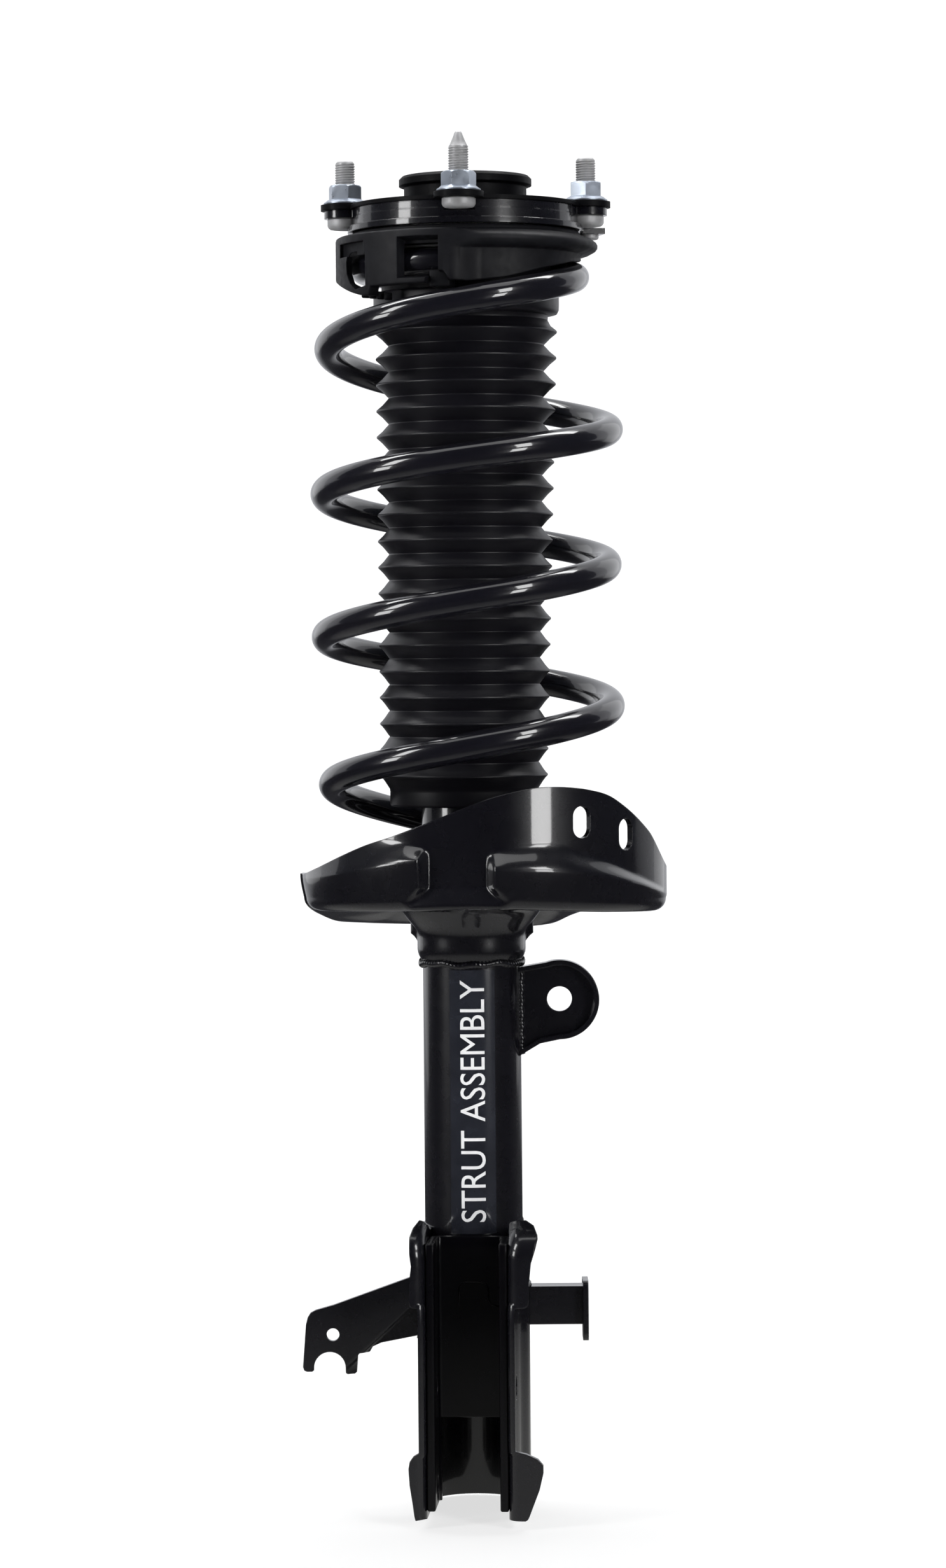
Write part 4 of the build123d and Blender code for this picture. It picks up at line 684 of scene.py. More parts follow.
# ------------------------------------------------------------------ lower spring seat
PAN_X = 6.2
PAN_R = 92.0
PAN_SHEET = 3.0
PAN_SLOTS = ((-56, -308.0), (-37.5, -314.8))  # angle and height
PAN_RIM = [
    (-97, -338.5), (-84.7, -331.5), (-62.7, -319.5), (-46.7, -313.7), (-0.7, -297.0), (21.3, -291.8),
    (38.3, -290.6), (55.3, -292.4), (68.3, -297.5), (83.3, -313.7), (91.3, -332.0), (97, -338.0),
]
PAN_WALL_RECESS = [
    (-180, 0.0), (-170, 1.2), (-150, 4.4), (-125, 6.4), (-109, 7.0), (-88, 7.0), (-65, 7.0), (-46, 5.2),
    (-30, 2.6), (-14, 0.3), (0, 0.0), (180, 0.0),
]
PAN_SHOULDER = [
    (-180, -322.0), (-150, -314.0), (-118, -316.0), (-109, -319.5), (-88, -321.5), (-82, -319.0),
    (-65, -318.4), (-56, -323.0), (-46, -327.3), (-34, -334.0), (-17, -341.5), (0, -345.0), (180, -322.0),
]
PAN_KNEE = [
    (-180, -337.0), (-158, -336.0), (-137, -332.0), (-110, -325.5), (-88, -329.5), (-65, -331.0),
    (-46, -335.4), (-17, -344.0), (0, -347.0), (180, -337.0),
]
PAN_BOTTOM = [
    (-180, -353.7), (-135, -351.5), (-90, -349.4), (-45, -352.5), (0, -355.5), (30, -357.0), (50, -359.0),
    (57, -361.8), (66, -366.8), (90, -366.8), (113, -365.7), (150, -362.6), (165, -358.0), (180, -353.7),
]
PANEL_LEFT, PANEL_RIGHT, PANEL_FACING = -109.6, -87.6, -98.6
PANEL_REACH = 83.5
PANEL_FOOT = -339.0
PANEL_FLARE = 5.6
WALL_BLEND = 1.1
NECK = [
    (36.6, -353.4), (35.0, -354.9), (33.4, -356.9), (31.6, -359.2), (29.9, -361.3), (28.5, -363.2),
    (27.6, -364.9), (27.25, -366.4), (27.2, -367.8), (27.2, -370.8), (27.2, -373.8), (27.0, -375.3),
    (26.5, -376.8), (25.8, -378.2), (25.3, -379.4),
]
WALL_ROWS = 56


def rim_height(angle):
    front = hermite(PAN_RIM, max(-96, min(96, PAN_R * cos(radians(angle)))))
    if angle <= 0 and angle > -180:
        return front
    share = smooth(0, 26, angle) * (1 - smooth(160, 180, angle))
    return front * (1 - share) - 337.0 * share


def pan_wall(angle):
    """The upper wall: a cylinder with one flat pressed into it, the two running smoothly together."""
    drum = PAN_R - hermite(PAN_WALL_RECESS, angle)
    if not -150 < angle < -48:
        return drum
    flat = PANEL_REACH / cos(radians(angle - PANEL_FACING))
    return drum - WALL_BLEND * log(1 + exp((drum - flat) / WALL_BLEND))


def panel_share(angle, z):
    widen = 6.5 * max(0.0, min(1.0, (PANEL_FOOT - z) / 9.0))
    into = smooth(PANEL_LEFT - 1.3 - widen, PANEL_LEFT + 1.6 - widen * 0.75, angle)
    out = smooth(PANEL_RIGHT - 1.6 + widen * 0.65, PANEL_RIGHT + 1.3 + widen, angle)
    return into * (1 - out)


def pan_radius(angle, z):
    bottom = hermite(PAN_BOTTOM, angle)
    shoulder, knee = hermite(PAN_SHOULDER, angle), hermite(PAN_KNEE, angle)
    run = (z - knee) / (shoulder - knee)
    slope = min(1.0, max(0.0, run))
    slope = 0.5 * slope + 0.5 * smooth(0, 1, slope)
    outer = PAN_R - 1.2 * smooth(-120, -175, angle)
    wall = pan_wall(angle)
    lobe = outer - (outer - wall) * slope
    if z < knee:
        lobe -= 3.6 * ((knee - z) / (knee - bottom)) ** 1.4
    panel = wall
    if z < PANEL_FOOT:
        panel += PANEL_FLARE * (PANEL_FOOT - z) / (PANEL_FOOT - bottom)
    share = panel_share(angle, z)
    return lobe * (1 - share) + panel * share


def pan_profile(angle):
    top, bottom = rim_height(angle), hermite(PAN_BOTTOM, angle)
    corner = 6.5 - 4.0 * panel_share(angle, bottom)
    foot = bottom + corner
    points = []
    for n in range(WALL_ROWS):
        z = top + (foot - top) * n / (WALL_ROWS - 1)
        points.append((pan_radius(angle, z), z))
    edge = points[-1][0]
    for n in range(1, 8):
        a = pi / 2 * n / 7
        points.append((edge - corner * (1 - cos(a)), foot - corner * sin(a)))
    inner = points[-1][0]
    for reach, lift in ((0.2, 0.0), (0.42, 0.02), (0.6, 0.2), (0.75, 0.52), (0.88, 0.85), (1.0, 1.0)):
        points.append((inner + (38.6 - inner) * reach, bottom + (-352.4 - bottom) * lift))
    saddle = 4.4 * smooth(2, 12, angle) * (1 - smooth(168, 178, angle))
    for r, z in NECK:
        backing = saddle * smooth(-355.0, -358.0, z) * (1 - smooth(-366.5, -369.5, z))
        r = r + max(0.0, backing + min(0.0, 27.2 - r) * (backing > 0))
        fade = smooth(-351.6, -354.0, z)
        lean = cos(radians(angle)) * PAN_X * fade
        points.append((sqrt(max(r * r - (PAN_X * sin(radians(angle)) * fade) ** 2, 1.0)) - lean, z))
    return points


def build_lower_seat():
    seat = polar_skin(
        "lower_seat_pressing", angles_around(1.0, 0.35, -119, -78), pan_profile, BLACK_PAINT,
        "black_paint", centre=(PAN_X, 0.0),
    )
    thicken(seat, PAN_SHEET)
    cut(seat, *[radial_prism((PAN_X, 0), angle, obround(9.6, 15.6, z), 70, 100) for angle, z in PAN_SLOTS])
    settle(seat, "strut_body", "lower_spring_seat", 38)


build_lower_seat()


def pan_floor(angle):
    """Height of the seat floor's upper face at that angle."""
    return hermite(PAN_BOTTOM, (angle + 180) % 360 - 180) + PAN_SHEET + 0.15


def build_lower_pad():
    verts, rows = [], 0
    for turn in range(-458, -182, 4):
        centre = spring_point(turn) / MM
        reach = Vector((centre.x, centre.y)).length
        angle = 180 + turn
        floor = min(pan_floor(angle), centre.z - WIRE_R - 0.4)
        lift = smooth(-232, -200, turn) * 3.0
        section = [(reach - 8.8, floor), (reach + 8.8, floor), (reach + 9.0, centre.z - 3.2 - lift)]
        section += [
            (reach + 7.15 * cos(radians(a)), centre.z - lift * 0.02 + 7.15 * sin(radians(a)))
            for a in range(-28, -153, -12)
        ]
        section.append((reach - 9.0, centre.z - 3.8 - lift))
        for r, z in section:
            x, y = polar(r, angle)
            verts.append((x * MM, y * MM, z * MM))
        rows += 1
    count = len(verts) // rows
    pad = add_piece(
        "lower_pad_cradle", verts, rings_to_faces(rows, count, close_ends=True), RUBBER, "strut_body",
        "rubber",
        ("lower_spring_pad",),
    )
    sharp_by_angle(pad, 35)


build_lower_pad()


def collar_height(angle):
    return -380.3 + 0.5 * sin(radians(5 * angle + 40)) + 0.4 * sin(radians(11 * angle))


collar_path = [(*polar(24.9, a), collar_height(a)) for a in range(0, 360, 4)]
weld_bead("weld_seat_collar", collar_path, 1.9, closed=True)

# ------------------------------------------------------------------ upper spring seat
SKIRT_BOTTOM = [
    (-180, -39.2), (-170, -41.0), (-160, -44.0), (-152, -46.4), (-145, -48.2), (-141, -49.0),
    (-137.5, -49.0), (-136.5, -44.8), (-130, -44.6), (-108.2, -44.4), (-107, -39.0), (-100, -38.8),
    (-97, -43.4), (-90, -43.6), (-70, -41.4), (-50, -36.4), (-25, -31.7), (0, -29.5), (40, -27.7),
    (90, -28.0), (160, -30.0), (171, -31.0), (176, -38.6), (180, -39.2),
]
SEAT_TOP = [
    (34.0, -22.2), (51.9, -22.2), (52.0, -21.9), (52.0, -15.8), (52.5, -15.2), (56.8, -15.2), (57.3, -15.7),
]
SEAT_HUB = [
    (42.9, -24.2), (42.5, -24.6), (42.5, -53.6), (42.1, -54.0), (40.9, -54.0), (40.5, -53.6), (40.5, -26.4),
    (39.5, -24.8), (35.0, -24.2), (34.2, -23.8),
]
# cut-outs in the seat's wall, as (sideways, z)
SEAT_WINDOW = [(11.7, -42.4), (11.7, -20.7), (-11.7, -20.7), (-11.7, -42.4)]
HOOK_GAP = [
    (8.6, -44.0), (8.6, -28.2), (-8.0, -28.2), (-9.2, -31.5), (-8.8, -37.0), (-5.6, -41.8), (0.0, -45.6),
]
HOOK_RECESS = [(9.4, -28.6), (9.4, -21.8), (-16.0, -21.8), (-16.0, -28.6)]


def seat_profile(angle):
    brim = smooth(-97, -82, angle) * (1 - smooth(42, 60, angle))
    block = smooth(-152, -148, angle) * (1 - smooth(-99, -94, angle))
    bottom = between(SKIRT_BOTTOM, angle)
    wall = 62.1 - 3.3 * block
    plain = [
        (57.3, -17.5), (64.0, -17.6), (65.0, -18.2), (65.3, -19.2), (65.3, -21.0), (65.3, -23.5),
        (65.3, -25.0), (65.3, -26.6), (65.3, -27.6), (65.3, bottom + 1.4), (65.0, bottom + 0.4),
        (64.3, bottom), (wall + 0.8, bottom), (wall, bottom + 0.8), (wall, -27.4), (wall - 0.4, -26.4),
        (58.4, -24.4),
    ]
    lipped = [
        (57.9, -17.2), (61.2, -18.3), (64.0, -19.6), (65.6, -20.8), (66.2, -22.0), (66.1, -23.3),
        (65.2, -24.5), (62.4, -26.0), (59.2, -27.0), (57.6, bottom + 1.6), (57.9, bottom + 0.5),
        (57.4, bottom), (56.0, bottom), (55.4, bottom + 0.6), (55.3, -26.6), (55.0, -26.0), (54.6, -24.6),
    ]
    side = [(a + (c - a) * brim, b + (d - b) * brim) for (a, b), (c, d) in zip(plain, lipped)]
    return SEAT_TOP + side + SEAT_HUB


def build_upper_seat():
    seat = polar_skin(
        "upper_seat_moulding", angles_around(1.0, 0.6, -155, -60), seat_profile, SEAT_PLASTIC,
        "black_plastic", closed=True,
    )
    cut(
        seat,
        radial_prism((0, 0), -111.5, SEAT_WINDOW, 57.5, 68.0, 0.80),
        radial_prism((0, 0), -147.0, HOOK_GAP, 57.0, 69.0),
        radial_prism((0, 0), -149.0, HOOK_RECESS, 61.4, 70.0),
    )
    settle(seat, "upper_seat", "upper_spring_seat", 34)


build_upper_seat()


def seat_block(name, angle, near, far, half, low, high):
    """A block with rounded edges on the upper seat."""
    outline = [(half, low), (half, high), (-half, high), (-half, low)]
    verts, faces = radial_prism((0, 0), angle, outline, near, far)
    piece = add_piece(name, verts, faces, SEAT_PLASTIC, "upper_seat", "black_plastic", smooth=False)
    edge = piece.modifiers.new("edge", "BEVEL")
    edge.width = 0.9 * MM
    edge.segments = 3
    edge.limit_method = "NONE"
    bpy.context.view_layer.update()
    bake(piece)
    for polygon in piece.data.polygons:
        polygon.use_smooth = True


seat_block("seat_rib_front", -102.6, 47.0, 59.6, 5.2, -46.2, -37.6)
for tooth in range(4):
    seat_block(
        f"seat_hook_tooth_{tooth}", -146.0 + 3.6 * tooth, 57.2 - 1.8 * tooth, 62.0 - 1.8 * tooth, 1.1,
        -49.6 - 0.5 * tooth, -45.4 - 0.6 * tooth,
    )
for rib, (rib_angle, far, low) in enumerate(((-128, 53.6, -42.0), (-80, 55.6, -36.0), (-62, 55.6, -36.0))):
    seat_block(f"seat_rib_{rib}", rib_angle, 42.2, far, 1.3, low, -24.3)

# ------------------------------------------------------------------ soft pieces
ISOLATOR_PROFILE = [
    (43.6, -25.0), (44.2, -24.4), (53.8, -24.6), (54.3, -25.0), (54.3, -25.6), (53.6, -26.0), (50.0, -25.8),
    (47.6, -25.8), (44.2, -26.0), (43.6, -25.6),
]
MOUNT_RUBBER_PROFILE = [
    (24.0, -3.4), (24.4, -3.0), (29.6, -3.0), (30.6, -3.6), (31.6, -5.4), (33.0, -6.0), (35.4, -6.0),
    (36.6, -5.2), (37.4, -3.6), (38.4, -3.0), (46.6, -3.0), (47.0, -3.4), (47.0, -11.3), (46.6, -11.7),
    (30.6, -11.7), (29.4, -12.4), (27.4, -12.5), (25.6, -11.8), (24.2, -11.0), (24.0, -10.6),
]
ROD_SEAL_PROFILE = [
    (11.15, -219.9), (11.5, -219.3), (12.6, -220.2), (13.6, -221.0), (14.6, -220.6), (15.4, -219.2),
    (16.2, -218.6), (21.6, -218.5), (22.0, -218.9), (22.0, -225.6), (21.6, -226.0), (12.4, -226.0),
    (11.8, -225.2), (11.1, -223.6), (11.5, -222.4), (11.1, -221.4),
]
bump_profile = [(11.6, -15.2), (12.2, -14.7), (24.8, -14.7), (25.8, -15.6), (26.0, -17.0)]
for groove in range(3):
    top = -26.0 - 17.0 * groove
    reach = 26.0 - 2.6 * groove
    bump_profile += [
        (reach, top + 2.5), (reach - 0.9, top), (reach - 3.6, top - 2.2), (reach - 5.2, top - 4.6),
        (reach - 3.9, top - 7.0), (reach - 2.8, top - 9.6), (reach - 2.6, top - 12.0),
    ]
bump_profile += [
    (17.6, -79.0), (16.4, -83.0), (15.0, -84.8), (12.6, -85.0), (11.7, -84.2), (11.6, -60.0), (11.6, -30.0),
]
lathe_piece(
    "upper_isolator_ring", ISOLATOR_PROFILE, 96, RUBBER, "upper_seat", "rubber", "upper_spring_isolator",
)
lathe_piece("mount_rubber_ring", MOUNT_RUBBER_PROFILE, 96, RUBBER, "mount", "rubber", "mount_rubber")
lathe_piece("rod_seal_lips", ROD_SEAL_PROFILE, 72, RUBBER, "strut_body", "rubber", "rod_seal")
lathe_piece("bump_stop_foam", bump_profile, 72, FOAM, "mount", "foam", "bump_stop", 50)

# ------------------------------------------------------------------ knuckle bracket
BRACKET_TURN = -4.0
BRACKET_BACK_R = 27.7
BRACKET_HALF_W = 23.3
BRACKET_FRONT = 58.0
BRACKET_SHEET = 3.2
BEND_R = 3.0
BOLT_Y, BOLT_R = -42.0, 6.25
BOLT_HEIGHTS = (-587.0, -637.0)
LIP_LEFT = [
    (-649.2, 25.5), (-648.4, 25.8), (-647, 26.1), (-644, 26.5), (-641, 26.9), (-632, 28.3), (-624, 28.8),
    (-620.5, 28.2), (-618, 26.4), (-616.2, 23.3), (-545.6, 23.3), (-545.3, 26.6), (-544.6, 27.5),
    (-542.6, 28.0), (-530, 27.4), (-525, 26.8), (-519, 27.6), (-513.5, 27.8), (-510, 26.4), (-507, 23.6),
]
LIP_RIGHT = [
    (-649.2, 28.4), (-648.4, 29.6), (-647, 30.3), (-641, 32.6), (-634, 35.3), (-626, 37.2), (-622, 37.2),
    (-619, 34.6), (-616.5, 29.0), (-615.2, 23.3), (-545.6, 23.3), (-545.3, 28.8), (-544.6, 30.0),
    (-542.6, 30.8), (-533, 30.9), (-524, 31.8), (-517, 34.0), (-512.5, 35.0), (-509, 33.0), (-507, 29.0),
]
BRACKET_LEVELS = sorted(
    {z for z, _ in LIP_LEFT + LIP_RIGHT} | {-639.5 + 1.5 * n for n in range(15)}
    | {-610.0 + 7.0 * n for n in range(10)} | {-540.4 + 1.25 * n for n in range(24)} | {-508.5}
)


def turned(x, y, z):
    """A point given in the bracket's own frame, turned with it about the tube."""
    a = radians(BRACKET_TURN)
    return (x * cos(a) - y * sin(a), x * sin(a) + y * cos(a), z)


def bracket_section(z):
    """Left lip, left side, half-round back, right side, right lip, as (x, y), open towards -y."""
    climb = max(0.0, z + 521.0) / 14.0
    front = BRACKET_FRONT - 13.0 * climb ** 2.2
    sides = []
    for stations in (LIP_LEFT, LIP_RIGHT):
        curl = max(0.4, between(stations, z) - BRACKET_HALF_W)
        bend = min(BEND_R + 3.0 * min(1.0, climb), 0.8 * curl)
        lip = []
        for n in range(8):
            a = pi / 2 * n / 7
            lip.append((BRACKET_HALF_W + bend * (1 - cos(a)), -(front - bend + bend * sin(a))))
        for n in range(1, 4):
            lip.append((BRACKET_HALF_W + bend + (curl - bend) * n / 3, -front))
        start = front - bend
        side = [(BRACKET_HALF_W, -(17 + (start - 17) * n / 6)) for n in range(1, 6)]
        neck = []
        for n in range(7):
            t = n / 6
            neck.append((BRACKET_BACK_R + (BRACKET_HALF_W - BRACKET_BACK_R) * smooth(0, 1, t), -(5 + 12 * t)))
        sides.append(neck + side + lip)
    left, right = sides
    arc = [polar(BRACKET_BACK_R, 180 - 180 * n / 32) for n in range(33)]
    return [(-x, y) for x, y in reversed(left)] + arc + right


def bolt_cutters():
    """Bars through both sides of the bracket where the two knuckle bolts go."""
    cutters = []
    for z in BOLT_HEIGHTS:
        ring = [polar(BOLT_R, 9 * k) for k in range(40)]
        bar = [Vector(turned(side, BOLT_Y + y, z + up)) * MM for side in (-40.0, 40.0) for y, up in ring]
        cutters.append((bar, rings_to_faces(2, 40, close_ends=True)))
    return cutters


def build_knuckle_bracket():
    verts, count = [], 0
    for z in BRACKET_LEVELS:
        section = bracket_section(z)
        count = len(section)
        sink = 5.0 * smooth(-519.0, -507.0, z)
        hang = 3.0 * smooth(-630.0, -649.2, z)
        for x, y in section:
            shift = sink * smooth(-42.0, -22.0, y) + hang * smooth(-40.0, -10.0, y)
            verts.append(Vector(turned(x, y, z - shift)) * MM)
    faces = open_grid(len(BRACKET_LEVELS), count)
    piece = add_piece("bracket_outer_pressing", verts, faces, BLACK_PAINT, None, "black_paint")
    thicken(piece, BRACKET_SHEET)
    cut(piece, *bolt_cutters())
    settle(piece, "strut_body", "knuckle_bracket_outer", 40)


build_knuckle_bracket()

INNER_HALF_W = 20.05
INNER_SHEET = 4.2
INNER_CORNER_R = 5.6
INNER_FRONT_Y = -57.6
INNER_BOTTOM_Z, INNER_TALL = -645.5, 131.0
WEB_BACK_Y = -24.7
WINDOW_TOP_Z = -604.0
# raised outline pressed into the web, as (sideways, z)
TONGUE = [
    (-5.7, -549.0), (-5.7, -540.0), (-4.2, -537.6), (-1.5, -536.9), (4.5, -536.9), (7.8, -537.8),
    (8.9, -540.5), (8.9, -545.5), (10.2, -548.3), (14.0, -549.3),
]


def build_inner_channel():
    """The U-shaped pressing inside the bracket, with rounded corners and an open window below its web."""
    corner = (INNER_HALF_W - INNER_CORNER_R, WEB_BACK_Y - INNER_CORNER_R)
    right = [(corner[0] * n / 4, WEB_BACK_Y) for n in range(1, 4)]
    right += [
        (corner[0] + INNER_CORNER_R * cos(a), corner[1] + INNER_CORNER_R * sin(a))
        for a in [pi / 2 * (1 - n / 7) for n in range(8)]
    ]
    right += [(INNER_HALF_W, corner[1] + (INNER_FRONT_Y - corner[1]) * n / 6) for n in range(1, 7)]
    section = [(-x, y) for x, y in reversed(right)] + [(0.0, WEB_BACK_Y)] + right
    levels = [INNER_BOTTOM_Z + INNER_TALL * n / 20 for n in range(21)]
    verts = [Vector(turned(x, y, z)) * MM for z in levels for x, y in section]
    faces = open_grid(len(levels), len(section))
    # the darker paint here is painted shade inside the channel
    piece = add_piece("bracket_inner_pressing", verts, faces, SHADED_PAINT, None, "black_paint")
    thicken(piece, INNER_SHEET)
    edges = piece.modifiers.new("edges", "BEVEL")
    edges.width = 0.9 * MM
    edges.segments = 2
    edges.limit_method = "ANGLE"
    edges.angle_limit = radians(50)
    bake(piece)
    corners = ((15.0, -34.0), (15.0, -20.0), (-15.0, -20.0), (-15.0, -34.0))
    window = [Vector(turned(x, y, z)) * MM for z in (-660.0, WINDOW_TOP_Z) for x, y in corners]
    cut(piece, (window, rings_to_faces(2, 4, close_ends=True)), *bolt_cutters())
    settle(piece, "strut_body", "knuckle_bracket_inner", 35)
    ridge = [turned(x, WEB_BACK_Y - INNER_SHEET - 0.05, z) for x, z in TONGUE]
    bar = tube_along(ridge, [0.45] * len(ridge), 10)
    add_piece("bracket_web_ridge", *bar, SHADED_PAINT, "strut_body", "black_paint")


build_inner_channel()

# ------------------------------------------------------------------ brake hose bracket
HOSE_FRONT_Y = -11.0
HOSE_SHEET = 3.0
HOSE_CREASE = ((-28.5, -547.8), (-53.6, -570.9))
HOSE_BEND = 1.1
HOSE_HOLE, HOSE_HOLE_R = (-70.9, -565.5), 3.2
HOSE_NOTCH, HOSE_NOTCH_R = (-72.6, -582.0), 7.9


def hose_outline():
    notch = []
    for step in range(0, 181, 12):
        x, z = polar(HOSE_NOTCH_R, step)
        notch.append((HOSE_NOTCH[0] - x, HOSE_NOTCH[1] + z))
    return (
        [
            (-27.2, -535.5), (-33.7, -537.7), (-70.4, -550.7), (-79.4, -553.2), (-82.0, -554.6),
            (-83.6, -557.2), (-84.4, -560.4), (-86.0, -581.5), (-85.4, -583.3), (-84.0, -583.9),
            (-81.4, -583.9), (-80.5, -583.2),
        ] + notch
        + [
            (-64.7, -585.0), (-63.9, -585.9), (-60.2, -586.1), (-59.2, -585.2), (-58.4, -575.8),
            (-57.6, -574.9), (-52.6, -574.6), (-51.0, -571.8), (-46.8, -570.2), (-27.2, -568.6),
        ]
    )


def build_hose_bracket():
    """A flat arm whose lower inner corner is folded back along a slanting crease."""
    outline = hose_outline()
    (ax, az), (bx, bz) = HOSE_CREASE
    along = Vector((bx - ax, bz - az)).normalized()
    across = Vector((-along.y, along.x))
    if across.dot(Vector(outline[-1]) - Vector((ax, az))) < 0:
        across = -across
    verts = []
    for side in (0.0, HOSE_SHEET):
        for x, z in outline:
            verts.append(Vector((x, HOSE_FRONT_Y + side, z)) * MM)
    count = len(outline)
    faces = [tuple(range(count)), tuple(reversed(range(count, 2 * count)))]
    faces += [(k, count + k, count + (k + 1) % count, (k + 1) % count) for k in range(count)]
    piece = add_piece("hose_bracket_arm", verts, faces, BLACK_PAINT, None, "black_paint", smooth=False)
    work = bmesh.new()
    work.from_mesh(piece.data)
    bmesh.ops.recalc_face_normals(work, faces=work.faces)
    work.to_mesh(piece.data)
    work.free()
    hole = []
    for depth in (-20.0, 0.0):
        for k in range(32):
            up, across_hole = polar(HOSE_HOLE_R, 360 * k / 32)
            hole.append(Vector((HOSE_HOLE[0] + across_hole, depth, HOSE_HOLE[1] + up)) * MM)
    cut(piece, (hole, rings_to_faces(2, 32, close_ends=True)))
    mesh = piece.data
    work = bmesh.new()
    work.from_mesh(mesh)
    for offset in (0.0, 0.6, 1.4, 2.4):
        point = Vector((ax + across.x * offset, 0, az + across.y * offset)) * MM
        bmesh.ops.bisect_plane(
            work, geom=work.verts[:] + work.edges[:] + work.faces[:], dist=1e-7, plane_co=point,
            plane_no=Vector((across.x, 0, across.y)),
        )
    for vert in work.verts:
        past = ((vert.co.x / MM - ax) * across.x + (vert.co.z / MM - az) * across.y)
        if past > 0:
            vert.co.y += (HOSE_BEND * max(0.0, past - 1.2) + HOSE_BEND * min(past, 2.4) ** 2 / 4.8 * 0.5) * MM
    bmesh.ops.triangulate(work, faces=[f for f in work.faces if len(f.verts) > 4])
    work.to_mesh(mesh)
    work.free()
    settle(piece, "strut_body", "hose_bracket", 30)


build_hose_bracket()

# ------------------------------------------------------------------ welds
weld_bead("weld_link_bracket", [(24.6 + 0.3 * sin(z), -1.6, z) for z in range(-427, -382, 2)], 1.7)
weld_bead("weld_hose_bracket", [turned(-26.6, -11.4 + 0.2 * sin(z), z) for z in range(-568, -540, 2)], 1.6)
weld_bead("weld_sensor_bracket", [(27.4, y - 6.0, -542.2) for y in range(0, 13, 2)], 1.2)
top_path = [(*polar(26.2, a), -511.5 + 0.2 * sin(radians(7 * a))) for a in range(24, 157, 5)]
weld_bead("weld_bracket_top", top_path, 1.5)

# ------------------------------------------------------------------ lettering on the tube label
LETTERING = "STRUT ASSEMBLY"
LETTER_TOP_Z, LETTER_BOTTOM_Z = -388.0, -508.0
LETTER_HEIGHT = 12.4
LABEL_R = 24.72
LETTER_T = 0.12


def build_lettering():
    """Plain generic words, read from below, wrapped round the tube as a thin raised print."""
    curve = bpy.data.curves.new("label_words", "FONT")
    curve.body = LETTERING
    curve.resolution_u = 4
    flat = bpy.data.objects.new("label_words", curve)
    bpy.context.scene.collection.objects.link(flat)
    bpy.context.view_layer.update()
    graph = bpy.context.evaluated_depsgraph_get()
    mesh = bpy.data.meshes.new_from_object(flat.evaluated_get(graph))
    bpy.data.objects.remove(flat, do_unlink=True)
    work = bmesh.new()
    work.from_mesh(mesh)
    bmesh.ops.remove_doubles(work, verts=work.verts, dist=1e-5)
    low = [min(v.co[i] for v in work.verts) for i in range(2)]
    high = [max(v.co[i] for v in work.verts) for i in range(2)]
    slices = 14
    for n in range(1, slices):
        level = low[1] + (high[1] - low[1]) * n / slices
        bmesh.ops.bisect_plane(
            work, geom=work.verts[:] + work.edges[:] + work.faces[:], dist=1e-6,
            plane_co=(0, level, 0), plane_no=(0, 1, 0),
        )
    front = work.faces[:]
    walls = bmesh.ops.extrude_face_region(work, geom=front)
    raised = {v for v in walls["geom"] if isinstance(v, bmesh.types.BMVert)}
    for vert in work.verts:
        run = (vert.co.x - low[0]) / (high[0] - low[0])
        rise = (vert.co.y - low[1]) / (high[1] - low[1]) - 0.5
        angle = radians(-90) + (-rise) * LETTER_HEIGHT / LABEL_R
        r = LABEL_R + (LETTER_T if vert in raised else 0.0)
        z = LETTER_BOTTOM_Z + run * (LETTER_TOP_Z - LETTER_BOTTOM_Z)
        vert.co = Vector((r * cos(angle), r * sin(angle), z)) * MM
    bmesh.ops.recalc_face_normals(work, faces=work.faces)
    work.to_mesh(mesh)
    work.free()
    mesh.materials.clear()
    mesh.materials.append(PRINT_WHITE)
    words = bpy.data.objects.new("label_lettering", mesh)
    bpy.context.scene.collection.objects.link(words)
    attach(words, "strut_body")


build_lettering()

# ------------------------------------------------------------------ stage, light and camera
FLOOR_Z = -0.6535
HORIZON_Z = -0.2204
CAMERA_DISTANCE = 2.2
PIXELS_PER_METRE = 3130.0
IMAGE_HEIGHT = 2464.0
HORIZON_ROW = 1010.0
LEAN = 0.0085
SWEEP_BACK, SWEEP_BEND = 2.6, 1.2


